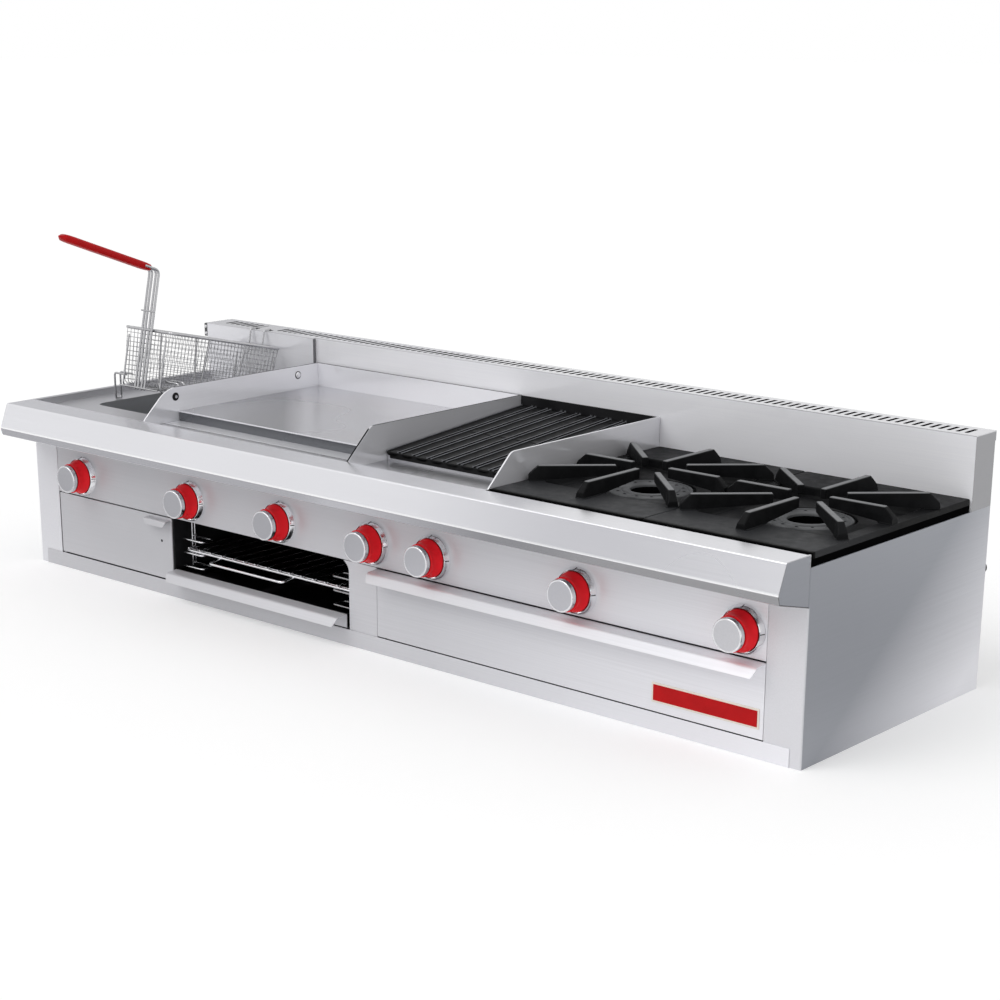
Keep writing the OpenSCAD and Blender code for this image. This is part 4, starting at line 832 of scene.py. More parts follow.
class RANGE_OT_pulls(PieceOperator, bpy.types.Operator):
    """The crumb drawer and the broiler tray: a front bent into a handle flange, and a box behind it."""

    bl_idname = "gas_range.pulls"
    bl_label = "Drawer and tray"
    FLANGE, DROP, LIP = 24, 2.5, 18  # the flange's reach from the front, its fall there and at its lip

    def pull(self, name, body, sizes, side, floor, rim, inside):
        """The front is a path bent over at its top. The box is an outline carried from floor to rim."""
        low, high = box(name)
        top, back = high[Z], FRONT_Y + SHEET
        flange = [(FRONT_Y - self.FLANGE, top - self.DROP), (low[Y], top - self.LIP)]
        corners = [(back, low[Z]), (back, top), *flange]
        path = rounded_path(corners, [sizes.bend, 4.5], 7)
        face = bent_sheet(path, *round_ends(path, low[X], high[X], sizes.flange_corner))
        outline = round_rect((low[X] + side, back + 0.1), (high[X] - side, high[Y]), 3)
        tub = open_box(outline, floor, rim, SHEET, 2, (Z, X, Y))
        make_piece(name + "_body", {"front_steel": [face], inside: [tub]}, body, [name])

    def build(self, sizes):
        """The badge is a round-cornered rectangle on a larger one, each carried through its thickness."""
        base = box("crumb_drawer")[0][Z]
        self.pull("crumb_drawer", "drawer", sizes, 8, base + 3.4, base + 81.4, "plain_steel")
        low, high = box("broiler_tray")[:, Z]
        self.pull("broiler_tray", "tray", sizes, 0.2, low, high - 0.4, "soot_and_shade_steel")
        low, high = box("drawer_badge")
        start, end, border = low[[X, Z]], high[[X, Z]], sizes.badge_border
        back = plate(round_rect(start, end, 1.2), low[Y] + 0.7, high[Y], 0.5)
        field = plate(round_rect(start + border, end - border, 0.8), low[Y], low[Y] + 1.2, 0.4)
        surfaces = {"pale_border": [back], "red_plastic": [field]}
        make_piece("drawer_badge_plate", surfaces, "drawer", ["drawer_badge"])


class RANGE_OT_door(PieceOperator, bpy.types.Operator):
    """The fryer door: a folded shell with a tab handle and a small keyhole."""

    bl_idname = "gas_range.door"
    bl_label = "Fryer door"
    TAB = 62  # width of the tab
    KEYHOLE = [(2.6, -0.4), (2.6, 0.35), (2.2, 0.45)]  # radius and height
    KEY_IN, KEY_UP = 29, 13  # the keyhole's place from the right edge and above the middle

    def build(self, sizes):
        """The shell is an open box, the tab a bent path carried across, the keyhole a turned profile."""
        low, high = box("fryer_door")
        shell = open_box(round_rect(low[[X, Z]], high[[X, Z]], 2), FRONT_Y, high[Y], SHEET, 1.3, (Y, X, Z))
        right, top = high[X] - 2, high[Z] - 4
        path = rounded_path([(FRONT_Y + 0.3, top), (low[Y] + 2.5, top - 1), (low[Y] + 0.6, top - 12)], 3, 7)
        tab = bent_sheet(path, *round_ends(path, right - self.TAB, right, 6))
        # painted shade: the keyhole is a small black disc that stands for the dark of its opening
        place = (high[X] - self.KEY_IN, FRONT_Y + 0.2, (low[Z] + high[Z]) / 2 + self.KEY_UP)
        keyhole = turned(self.KEYHOLE, place, sides=20)
        surfaces = {"front_steel": [shell, tab], "black_enamel": [keyhole]}
        make_piece("fryer_door_shell", surfaces, "door", ["fryer_door"])


class RANGE_OT_knobs(PieceOperator, bpy.types.Operator):
    """Seven knobs, each with a satin cap and a red ring, and their dials."""

    bl_idname = "gas_range.knobs"
    bl_label = "Knobs"
    CAP_EDGE, HUB, BORE = 2.2, 10, 10.1
    TAPER, WAIST = 4.6, 2.2  # what the ring loses towards the front and at its waist

    def cap(self, i):
        """Turned profiles: a round-edged rim, its face, a dark neck, the stem and the hub in the ring."""
        low, high = box(f"knob_cap_{i}")
        ring_low, ring_high = box(f"knob_ring_{i}")[:, Y]
        r, depth, edge = (high[X] - low[X]) / 2, ring_low - low[Y], self.CAP_EDGE
        turn = np.linspace(0, np.pi / 2, 7)
        corner = np.stack([r - edge + edge * np.cos(turn), depth - edge + edge * np.sin(turn)], -1)
        rim = np.vstack([[(r - 3, 2.4), (r - 0.6, 2.4), (r, 3.1)], corner, [(r - 3.2, depth - 0.5)]])
        face = [(r - 3, depth - 1), (r - 3, depth - 0.4), (2, depth - 0.25)]
        neck = [(r - 1.8, -2), (r - 1.8, 2.8)]
        stem = [(4, ring_low - high[Y]), (4, -1)]
        hub = [(self.HUB, ring_low - ring_high), (self.HUB, -0.5)]
        centre = middle(f"knob_cap_{i}", y=ring_low)
        looks = {"chrome": [rim], "knob_face": [face], "black_enamel": [neck], "plain_steel": [stem, hub]}
        surfaces = {finish: [turned(profile, centre) for profile in looks[finish]] for finish in looks}
        make_piece(f"knob_{i}_cap", surfaces, f"knob_{i}", [f"knob_cap_{i}"])

    def ring(self, i):
        """A turned profile whose wall narrows to the front, with a waist that is half a sine."""
        low, high = box(f"knob_ring_{i}")
        r, depth = (high[X] - low[X]) / 2, high[Y] - low[Y]
        t = np.linspace(0, 1, 12)
        waist = r - self.TAPER * t - self.WAIST * np.sin(np.pi * t)
        wall = np.stack([waist, 0.4 + t * (depth - 1)], -1)
        foot, lip = [(self.BORE, 0), (r - 0.6, 0)], [(waist[-1] - 0.8, depth), (self.BORE, depth)]
        red = [turned(np.vstack([foot, wall, lip]), middle(f"knob_ring_{i}", y=high[Y]), ring=True)]
        make_piece(f"knob_{i}_ring", {"ring_red_painted_light": red}, f"knob_{i}", [f"knob_ring_{i}"])

    def tick(self, slope, centre, clock, width):
        """A mark on the dial's cone: a thin patch of it between two angles, from the top clockwise."""
        proud = 0.12
        strip = np.vstack([slope + proud, slope[::-1] - proud])
        half = width / 2 / slope[0, 0]
        turn = np.pi / 2 - clock + np.linspace(-half, half, 3)
        around = np.stack([np.cos(turn), np.zeros(3), np.sin(turn)], -1)
        front = np.array([0, -1, 0])
        return loft(centre + strip[None, :, :1] * around[:, None] + strip[None, :, 1:] * front)

    def build(self, sizes):
        """A dial is a ring profile turned about its knob's axis, with two marks on its cone."""
        low, high = box("knob_bezels")
        r, depth = (high[Z] - low[Z]) / 2, high[Y] - low[Y]
        profile = np.array([
            (r, 0), (r, 2.2), (r - 0.5, 3.2), (r - 3.2, depth - 1.2), (r - 4, depth),
            (r - 4.9, depth - 1), (r - 6.5, depth - 3.2), (11, depth - 4), (11, 0),
        ])  # fmt: skip
        dials, ticks = [], []
        for i in KNOBS:
            self.cap(i)
            self.ring(i)
            centre = np.array([middle(f"knob_cap_{i}")[X], high[Y], (low[Z] + high[Z]) / 2])
            dials.append(turned(profile, centre, sides=96, ring=True))
            ticks += [self.tick(profile[2:4], centre, clock, sizes.tick_width) for clock in (0, np.pi / 2)]
        surfaces = {"dial_steel": dials, "black_enamel": ticks}
        make_piece("knob_dials", surfaces, "cabinet", ["knob_bezels"])


class RANGE_OT_burner_tops(PieceOperator, bpy.types.Operator):
    """Two cast burner tops: a skirted plate, a sunk pan with a round opening, and eight fins."""

    bl_idname = "gas_range.burner_tops"
    bl_label = "Burner tops"
    WALL, CORNER, EDGE = 8, 4, 2
    PAN, PAN_CORNER, PAN_WALL, OPENING = np.array([127, 128]), 20, 4.4, 74
    FIN_ANGLE, FIN_CHAMFER = math.radians(43), 16
    FIN_START, SLANTED_START = 36, 57  # inner ends, from the centre

    def rays(self, half):
        """Directions round the centre, denser where they meet the corners of the plate and of the pan."""
        corners = [np.arctan2(h[1] - [8, 0], h[0] - [0, 8]) for h in (half, self.PAN)]
        near = np.concatenate([c + np.linspace(-0.09, 0.09, 13) for c in np.concatenate(corners)])
        even = np.linspace(0, 2 * np.pi, 96, endpoint=False)
        turns = np.concatenate([near, np.pi - near, np.pi + near, 2 * np.pi - near, even])
        return np.unique(turns % (2 * np.pi))

    def rounded(self, turn, half, radius):
        """Points of a rounded rectangle on the rays: on the nearer side, or on the corner's circle."""
        way = np.stack([np.cos(turn), np.sin(turn)], -1)
        reach = np.min(half / np.maximum(np.abs(way), 1e-9), axis=1, keepdims=True)
        core = half - radius
        along = np.abs(way) @ core
        bend = along + np.sqrt(np.maximum(along**2 - core @ core + radius**2, 0))
        in_corner = np.all(np.abs(way) * reach > core, axis=1)
        return way * np.where(in_corner, bend, reach[:, 0])[:, None]

    def casting(self, low, high):
        """A profile carried round: up the skirt, over the plate, into the pan, through its floor and back."""
        half = (high - low)[:2] / 2
        turn = self.rays(half)

        def skirt(inset, z):
            """A ring of the skirt, drawn in."""
            return self.rounded(turn, half - inset, self.CORNER), z

        def pan(grow, z):
            """A ring of the pan's wall, widened."""
            return self.rounded(turn, self.PAN + grow, self.PAN_CORNER), z

        def hole(grow, z):
            """A ring of the round opening, widened."""
            return np.stack([np.cos(turn), np.sin(turn)], -1) * (self.OPENING + grow), z

        bottom, top, under = low[Z], high[Z] - FIN_RISE, low[Z] + 0.4
        floor, below = under + self.PAN_WALL, top - self.WALL
        brim, sole, lip = 3, 4, 1.2
        bends = [(1 - np.cos(a), 1 - np.sin(a)) for a in np.linspace(0, np.pi / 2, 4)]
        rows = [skirt(0, bottom)]
        rows += [skirt(self.EDGE * c, top - self.EDGE * s) for c, s in bends]
        rows += [pan(brim * s, top - brim * c) for c, s in bends]
        rows += [pan(sole * s - sole - brim, floor + sole * s) for c, s in bends]
        rows += [hole(lip * s, floor - lip * c) for c, s in bends]
        rows += [hole(0, under), pan(self.PAN_WALL, under), pan(self.PAN_WALL, below)]
        rows += [skirt(self.WALL, below), skirt(self.WALL, bottom)]
        return self.carried(rows, low, high)

    def rim(self, low, high):
        """A thin black band round the skirt's lower part: painted shade under the plate's edge."""
        half = (high - low)[:2] / 2
        turn = self.rays(half)
        band = [(0.2, 0.1), (0.2, 11), (-1, 11.3), (-1, 0.1)]  # out from the skirt, up from its foot
        rows = [(self.rounded(turn, half + out, self.CORNER), low[Z] + z) for out, z in band]
        return self.carried(rows, low, high)

    def carried(self, rows, low, high):
        """A closed surface through rings about the middle, each at its level."""
        rings = np.stack([ring for ring, z in rows]) + (low + high)[:2] / 2
        return loft(on_axes(np.array([z for ring, z in rows]), rings, (Z, X, Y)), wrap_rows=True)

    def fin(self, centre, top, turn, inner, outer, foot, sizes):
        """A fin lofted along its length: its section has a narrow top and a foot that widens outwards."""
        high, root = top + FIN_RISE, top - 3
        nose = high - 16
        slope = outer - self.FIN_CHAMFER
        wide, spread, e = sizes.fin_top / 2, sizes.fin_foot / 2, sizes.casting_edge
        # Distance from the centre, upper and lower level, half width above and below
        stations = np.array([
            (inner, high - e, nose + e, wide - e, wide - e),
            (inner + e, high, nose, wide, wide * 0.9),
            (foot - 4, high, top + 1.5, wide, wide * 1.15),
            (foot + 1, high, root, wide, wide * 1.3),
            (slope - e, high, root, wide, spread * 0.9),
            (slope + e, high - e, root, wide, spread * 0.95),
            (outer - e / 2, high - self.FIN_CHAMFER + e, root, wide * 1.25, spread),
            (outer, high - self.FIN_CHAMFER - e / 2, root, wide * 1.3, spread),
        ])  # fmt: skip
        x, upper, lower, half, base = stations.T[:, :, None]
        across = np.hstack([-base, base, half, half - e, e - half, -half])
        tall = np.hstack([lower, lower, upper - e, upper, upper, upper - e])
        blade = loft(np.stack([np.broadcast_to(x, across.shape), across, tall], -1))
        beside = spread + 0.8
        outline = round_rect((max(foot + 1, outer - 44), -beside), (outer - 0.5, beside), 2)
        pad = plate(outline, top - 2, top + 1.8, 0.9, (Z, X, Y))
        c, s = np.cos(turn), np.sin(turn)
        spin = np.array([[c, s, 0], [-s, c, 0], [0, 0, 1]])
        return [moved(part, lambda p: p @ spin + [centre[X], centre[Y], 0]) for part in (blade, pad)]

    def build(self, sizes):
        """Four straight fins along the plate's axes, and four slanted ones that end at its sides."""
        for side in ("left", "right"):
            node = f"burner_top_{side}"
            low, high = box(node)
            centre, half, top = (low + high) / 2, (high - low) / 2, high[Z] - FIN_RISE
            across, along = half[X] - 2, half[Y] - 40
            corner = across - 5.5 * math.sin(self.FIN_ANGLE)
            slanted = np.array([corner, self.PAN[0]]) / math.cos(self.FIN_ANGLE)
            iron = [self.casting(low, high)]
            for turn in (0, np.pi):
                fins = [(turn, self.FIN_START, across, self.PAN[0])]
                fins += [(turn + np.pi / 2, self.FIN_START, along, self.PAN[1])]
                fins += [(turn + a, self.SLANTED_START, *slanted) for a in (self.FIN_ANGLE, -self.FIN_ANGLE)]
                iron += [part for fin in fins for part in self.fin(centre, top, *fin, sizes)]
            surfaces = {"top_iron": iron, "soot_and_shade_black": [self.rim(low, high)]}
            make_piece(node + "_casting", surfaces, f"{side}_top", [node])


class RANGE_OT_ring_burners(PieceOperator, bpy.types.Operator):
    """Two ring burners, each on its mixer tube, with ports and a bore drawn in black as painted shade."""

    bl_idname = "gas_range.ring_burners"
    bl_label = "Ring burners"
    # Turned profiles: radius, and height from the ring's top
    RING = [
        (33, -18), (70, -18), (70, -4), (68.8, -1.2), (66, 0), (63, 0), (62, -1.4), (48, -1.4), (47, 0),
        (37, 0), (34.5, -1), (33, -4),
    ]  # fmt: skip
    # painted shade: a black plug and liner in the bore, and a black disc in each port
    PLUG = [(33.4, -17.5), (33.4, -15), (30, -15)]
    LINER = [(33.4, -17.4), (33.4, -4.4), (32.8, -4.4), (32.8, -17.4)]
    PORT = [(2.8, -2.4), (2.8, -1.2), (2.3, -1.1)]
    BOSS = [(4.4, -2.4), (4.4, -1.2), (3.6, -0.9), (2.7, -0.9), (2.7, -2.4)]
    PORT_CIRCLE, PORTS = 55, 14

    def build(self, sizes):
        """Profiles turned about the ring's axis and each port's, and a mixer tube bent up to the ring."""
        low, high = box("ring_burners")
        up = (0, 0, 1)
        around = np.linspace(0, 2 * np.pi, self.PORTS, endpoint=False)
        circle = self.PORT_CIRCLE * np.stack([np.cos(around), np.sin(around), 0 * around], -1)
        # the black list holds painted shade: the bore's plug and liner and the ports' discs
        iron, soot = [], []
        for side, knob in (("left", KNOBS[5]), ("right", KNOBS[6])):
            centre = middle(f"burner_top_{side}", z=high[Z])
            iron.append(turned(self.RING, centre, up, 96, ring=True))
            soot.append(turned(self.PLUG, centre, up, 48))
            soot.append(turned(self.LINER, centre, up, 96, ring=True))
            for spot in centre + circle:
                soot.append(turned(self.PORT, spot, up, 16))
                iron.append(turned(self.BOSS, spot, up, 16, ring=True))
            x, _, z = middle(f"knob_cap_{knob}")
            mixer = z - low[Z]
            run = [(x, low[Y] + mixer, z), (x, centre[Y], z), (x, centre[Y], high[Z] - 17)]
            iron.append(tubes(rounded_path(run, 14, 8), mixer, 20, (1, 0, 0)))
        surfaces = {"burner_iron": iron, "soot_and_shade_black": soot}
        make_piece("ring_burner_castings", surfaces, "cabinet", ["ring_burners"])


class RANGE_OT_cooking(PieceOperator, bpy.types.Operator):
    """The charbroiler's grate and the griddle plate with the strip before it."""

    bl_idname = "gas_range.cooking"
    bl_label = "Grate and griddle"
    SLATS, SLAT_HALF = 9, 14  # slats, and half a slat's width
    LIFT = 30  # how much higher the grate's rear is
    SILL = 36.5  # depth of the strip before the griddle

    def grate(self):
        """Slats of a dished section along the lean, with pale strips of painted highlight at their edges,
        cross bars and two rear legs.
        """
        low, high = box("grill_grate")
        run, base, half = high[Y] - low[Y], box("grill_firebox")[1][Z] + 0.4, self.SLAT_HALF
        t = np.linspace(-1, 1, 15)
        upper = np.stack([half * t, 8 - 3.6 * (1 - t**4)], -1)
        lower = np.stack([half * t[::-1], 4 * t**6 - 0.8], -1)
        section = np.vstack([upper, lower])
        slats = np.linspace(low[X] + half, high[X] - half, self.SLATS)
        iron, highlight_strips, edge, end = [], [], 1.1, run * 0.997
        for x in slats:
            iron.append(plate(section + [x, 0], 0, end, 0.8, (Y, X, Z)))
            # painted highlight: a pale strip along each upper edge of a slat
            for highlight_x in (x - half + edge, x + half - edge):
                highlight_strips.append(panel((highlight_x - edge, 0.4, 7), (highlight_x + edge, end, 8.35), 0.5))
        for y, deep, tall in ((0, 15, 6), (run / 2 - 6, 12, 5.6), (run - 15, 14, 6)):
            iron.append(panel((slats[0] - 7, y, -5), (slats[-1] + 7, y + deep, tall), 0.8))
        lean = tilt(np.arcsin(self.LIFT / run))
        surfaces = {
            finish: [moved(part, lambda p: p @ lean + [0, low[Y] + 0.3, base]) for part in parts]
            for finish, parts in (("cast_iron", iron), ("highlight_iron", highlight_strips))
        }
        for x in (low[X] + 4, high[X] - 11):
            leg = panel((x, high[Y] - 14, low[Z]), (x + 7, high[Y] - 4, base + 30), 1)
            surfaces["cast_iron"].append(leg)
        make_piece("grill_grate_casting", surfaces, "grate", ["grill_grate"])

    def build(self, sizes):
        """The griddle is a round-cornered rectangle carried up, with thin strips across its front; the pale
        one on its upper edge is a painted highlight.
        """
        self.grate()
        low, high = box("griddle_plate")
        sill = low[Y] - self.SILL
        slab = plate(round_rect(low[:2], high[:2], 2), low[Z], high[Z], 1.2, (Z, X, Y))

        def across(y, z, edge):
            """A strip as wide as the griddle."""
            return panel((low[X], y[0], z[0]), (high[X], y[1], z[1]), edge)

        # painted highlight: a pale strip along the griddle's upper front edge
        edge = across((low[Y] - 0.25, low[Y] + 1.3), (high[Z] - 2, high[Z] + 0.15), 0.2)
        strip = across((sill, low[Y] + 2), (low[Z] - 1, low[Z] + 0.5), 0.2)
        line = across((sill - 1.1, sill), (low[Z] - 1, low[Z] + 0.2), 0.05)
        surfaces = {"griddle_steel": [slab], "satin_sheet": [edge, strip], "soot_and_shade_black": [line]}
        make_piece("griddle_plate_slab", surfaces, "cabinet", ["griddle_plate"])


class RANGE_OT_guards(PieceOperator, bpy.types.Operator):
    """Three divider guards with sloped fronts, the griddle's rear guard and the bolts."""

    bl_idname = "gas_range.guards"
    bl_label = "Guards and bolts"
    THICK, SKIN, CLEAR = 3, 1.1, 0.3
    SLOPE = 58  # run of a guard's sloped front
    # Turned profiles: radius and height
    DOME = np.array([(6.3, -0.2), (6.3, 0.7), (5.6, 1.7), (4.0, 2.3), (2.0, 2.45)])
    SOCKET = [(2.9, 2.0), (2.9, 2.6), (2.4, 2.62)]
    SHANK = [(3.0, -9.0), (3.0, 0.0)]
    WASHER = [(7.8, -0.2), (7.8, 0.4), (7.2, 0.6)]

    def build(self, sizes):
        """A guard is a slope-fronted outline carried sideways. The middle one is two skins and a black core
        of painted shade, with a black line of painted shade down its sloped front.
        """
        low, high = box("divider_guards")
        griddle_low, griddle_high = box("griddle_plate")[:, X]
        thick = self.THICK
        left, centre = griddle_low - self.CLEAR - thick, griddle_high + self.CLEAR
        front = (low[Y], box("front_rail")[1][Z])
        top = (low[Y] + self.SLOPE, high[Z])
        corners = [low[[Y, Z]], front, top, high[[Y, Z]], (high[Y], low[Z])]
        guards = []
        for x, bend in ((left, 26), (centre, 8), (high[X] - thick, 8)):
            outline = rounded_path(corners, [0.5, 3, bend, 1, 0.5], 8, closed=True)
            if x == centre:
                for a in (x, x + thick - self.SKIN):
                    guards.append(plate(outline, a, a + self.SKIN, 0.3, (X, Y, Z)))
                # painted shade: a black core between the middle guard's skins
                core = plate(outline - 1.5 * corner_normals(outline), x + 0.8, x + 2.2, 0.1, (X, Y, Z))
            else:
                guards.append(plate(outline, x, x + thick, 0.6, (X, Y, Z)))
        rear = (left + thick + 0.1, high[Y] - thick, low[Z])
        guards.append(panel(rear, (centre - 0.1, high[Y], high[Z]), 0.5))
        # painted shade: a black line down the middle guard's sloped front
        slope = np.array([(centre + thick / 2, *front), (centre + thick / 2, top[0] - 6, top[1] - 5)])
        joint = tubes(slope - [0, 0.1, 0], 1.2, 10, (1, 0, 0))
        surfaces = {"guard_steel": guards, "black_enamel": [core], "soot_and_shade_black": [joint]}
        make_piece("divider_guard_sheets", surfaces, "cabinet", ["divider_guards"])
        self.bolts(left + thick, low, high)

    def bolts(self, x, low, high):
        """A black and a bright bolt through the left guard, and two small ones on the flue's strap."""
        z = low[Z] + 0.72 * (high[Z] - low[Z])
        surfaces = {"black_enamel": [], "plain_steel": [], "chrome": []}
        for y, head, socket in (
            (low[Y] + 78, "black_enamel", "plain_steel"),
            (high[Y] - 58, "chrome", "chrome"),
        ):
            for finish, profile in (
                (head, self.DOME),
                (socket, self.SOCKET),
                ("plain_steel", self.SHANK),
                ("black_enamel", self.WASHER),
            ):
                surfaces[finish].append(turned(profile, (x, y, z), (1, 0, 0), 32))
        flue_low, flue_high = box("fryer_flue")
        for drop in (6.5, 20.5):
            place = (flue_low[X] + 4.5, flue_low[Y], flue_high[Z] - drop)
            surfaces["chrome"].append(turned(self.DOME * 0.5, place, sides=24))
        make_piece("guard_bolt_heads", surfaces, "cabinet", ["guard_bolts"])


class RANGE_OT_louvers(PieceOperator, bpy.types.Operator):
    """Soot and painted shade at the cap's slots: a thin black film on each slot and its rim."""

    bl_idname = "gas_range.louvers"
    bl_label = "Louver soot"
    EDGE, PITCH, SLOT = 25, 15.7, np.array([4, 34])
    HOOKS = 31  # half width of the part without slots, where the basket hangs

    def build(self, sizes):
        """Slots at an even pitch from the right end, apart from those where the basket hangs."""
        top = box("louver_cap")[1][Z]
        right = box("back_splash")[1][X]
        count = int((right - box("left_side_panel")[0][X] - 2 * self.EDGE) / self.PITCH)
        slots = right - self.EDGE - self.SLOT[0] / 2 - np.arange(count) * self.PITCH
        y = middle("back_splash")[Y]
        wide, deep = self.SLOT / 2 + [1.4, -1]
        # black films: soot on the slots' rims and painted shade in the slots
        films = [
            panel((x - wide, y - deep, top - 1), (x + wide, y + deep, top + 0.12), 0.05)
            for x in slots[np.abs(slots - middle("basket_frame")[X]) > self.HOOKS]
        ]
        make_piece("louver_soot_and_shade", {"soot_and_shade_black": films}, "cabinet", [])


class RANGE_OT_basket(PieceOperator, bpy.types.Operator):
    """The hung fry basket: rim, hoops, a fine net, handle wires, hooks, feet and a red grip."""

    bl_idname = "gas_range.basket"
    bl_label = "Fry basket"
    LENGTH, TOP_HALF, LOW_HALF, DEPTH = 285, 73, 60, 109
    WIRE, THIN = 3, 2  # radius of the rim and of the thinner wires
    TILT = math.radians(12.7)
    RISE = 116  # from the rim up to the handle's turn
    STEMS, HOOK = (-14, -5.5, 5.5, 14), 20  # places across of the handle's wires and of a hook
    GRIP, GRIP_RISE = 240, 31
    GRIP_HALF, GRIP_SPAN = (13.5, 7.5), (9, 238)  # half its section, and its ends along the handle

    def hung(self, points):
        """From the basket's own frame (rim at zero, front at -y) to its tilted place before the flue."""
        place = (middle("basket_frame")[X], box("fryer_flue")[0][Y] - 9, box("louver_cap")[1][Z] - 30)
        return np.asarray(points) @ tilt(-self.TILT) + place

    def wire(self, corners, radius, bend, normal, closed=False, sides=10):
        """One bent wire in the basket's own frame."""
        return moved(tubes(rounded_path(corners, bend, 7, closed), radius, sides, normal, closed), self.hung)

    def net(self, sizes):
        """Three families of thin wires: across and under, along and under, and level loops."""
        length, low, r = self.LENGTH, -self.DEPTH, sizes.net_wire
        top, bottom = self.TOP_HALF - 2.6, self.LOW_HALF - 2

        def half(z):
            """Half the net's width at a height."""
            return top + (bottom - top) * z / low

        rows = round(length / sizes.net_cell)
        y = -np.linspace(0.5, rows - 0.5, rows) * length / rows
        across = rounded_path([(top, 0, 0), (bottom, 0, low), (-bottom, 0, low), (-top, 0, 0)], 9, 4)
        across = across[None] + np.stack([0 * y, y, 0 * y], -1)[:, None]
        cols = round(2 * bottom / sizes.net_cell)
        x = ((np.arange(cols) + 0.5) / cols * 2 - 1)[:, None]
        _, run, drop = rounded_path([(0, -1, 0), (0, -1, -1), (0, 0, -1), (0, 0, 0)], 0.08, 4).T
        along = np.stack(np.broadcast_arrays(x * half(-low * drop), run * length, -low * drop), -1)
        levels = round(self.DEPTH / sizes.net_cell)
        z = (low * (np.arange(1, levels) / levels))[:, None]
        side, end = rounded_path([(-1, -1), (1, -1), (1, 0), (-1, 0)], 0.06, 4, closed=True).T
        loops = np.stack(np.broadcast_arrays(half(z) * side, end * length, z), -1)
        wires = (across, (0, 1, 0), False), (along, (1, 0, 0), False), (loops, (0, 0, 1), True)
        return [moved(tubes(paths, r, 6, normal, closed), self.hung) for paths, normal, closed in wires]

    def build(self, sizes):
        """Round wires along bent paths: the rim, hoops, rails under the net, the handle and its ties."""
        length, half, low, thin = self.LENGTH, self.TOP_HALF, -self.DEPTH - 2.5, self.THIN
        rim = [(-half, -length, 0), (half, -length, 0), (half, 0, 0), (-half, 0, 0)]
        parts = [self.wire(rim, self.WIRE, 14, (0, 0, 1), True, 14)]
        bottom = self.LOW_HALF + 0.5
        for y in (-0.34 * length, -0.67 * length):
            hoop = [(half, y, -3), (bottom, y, low), (-bottom, y, low), (-half, y, -3)]
            parts.append(self.wire(hoop, thin, 14, (0, 1, 0)))
        rail, under = bottom - 5, low - 3.8
        for x in (-rail, rail):
            run = [(x, -length - 2, -half * 0.2), (x, -length - 2, under), (x, 2, under), (x, 2, -20)]
            parts.append(self.wire(run, thin - 0.2, 12, (1, 0, 0)))
        front = -length - 5.2
        turn = np.array([0, front, self.RISE])
        way = np.array([0, -math.sqrt(self.GRIP**2 - self.GRIP_RISE**2), self.GRIP_RISE]) / self.GRIP
        for x in self.STEMS:
            run = np.array([(0, front, under), turn, turn + way * 34]) + [x, 0, 0]
            parts.append(self.wire(run, thin + 0.4, 11, (1, 0, 0)))
        for z, wide in ((under + 1.8, rail), (0, 19), (36, 19)):
            bar = [(x, front - 3.6, z) for x in (-wide, 0, wide)]
            parts.append(self.wire(bar, thin - 0.3, 1, (0, 0, 1)))
        parts += self.hooks(thin) + self.feet(thin, rail, under)
        frame_wires, net = {"basket_wire": parts}, {"net_wire": self.net(sizes)}
        make_piece("basket_frame_wires", frame_wires, "basket", ["basket_frame"], 60)
        make_piece("basket_net", net, "basket", ["basket_mesh"], 60)
        self.grip(turn, way)

    def hooks(self, radius):
        """Two wires from the rear rim, over the flue's front edge and down into the cap."""
        edge, cap = box("fryer_flue")[0][Y], box("louver_cap")[1][Z]
        centre, y, z = self.hung([0, 0, 0])
        top, end = cap + radius + 0.5, edge + 16
        parts = []
        for x in (centre - self.HOOK, centre + self.HOOK):
            run = [(x, y - 3, z - 14), (x, edge - 3.5, top), (x, end, top), (x, end, cap - 6)]
            parts.append(tubes(rounded_path(run, 5, 7), radius - 0.4, 10, (1, 0, 0)))
        return parts

    def feet(self, radius, rail, under):
        """A looped wire at each front corner, from the bottom out and down to the deck."""
        deck = box("fryer_deck")[1][Z] - 12 + radius + 0.4
        low, high = box("basket_frame")[:, X]
        parts = []
        for side, out in ((-1, low + radius), (1, high - radius)):
            x, y, z = self.hung([side * (rail + 4), 14 - self.LENGTH, under + 24])
            rear, front = y + 7, y - 7
            path = [(x, rear, z), (out, rear, z), (out, rear, deck)]
            path += [(out, front, deck), (out, front, z), (x, front, z)]
            # The wire leaves its plane at the knee, so each leg is a plane curve of its own
            parts.append(tubes(rounded_path(path[:3], 6, 7), radius, 10, (0, 1, 0)))
            parts.append(tubes(rounded_path(path[1:5], 5, 7)[1:-1], radius - 0.05, 10, (1, 0, 0)))
            parts.append(tubes(rounded_path(path[3:], 6, 7), radius, 10, (0, 1, 0)))
        return parts

    def grip(self, start, way):
        """A flat round-edged bar along the handle, drawn in at both ends."""
        t = np.linspace(0, 1, 25)
        swell = np.sqrt(np.clip(1 - (2 * t - 1) ** 16, 0.03, 1))
        turn = np.linspace(0, 2 * np.pi, 28, endpoint=False)
        wide = self.GRIP_HALF[0] * np.sign(np.cos(turn)) * np.abs(np.cos(turn)) ** 0.6
        tall = self.GRIP_HALF[1] * np.sign(np.sin(turn)) * np.abs(np.sin(turn)) ** 0.8
        across = np.array([1, 0, 0])
        spine = start + way * np.linspace(*self.GRIP_SPAN, len(t))[:, None]
        section = wide[:, None] * across + tall[:, None] * np.cross(way, across)
        bar = moved(loft(spine[:, None] + swell[:, None, None] * section[None]), self.hung)
        make_piece("basket_grip_sleeve", {"red_plastic": [bar]}, "basket", ["basket_grip"])


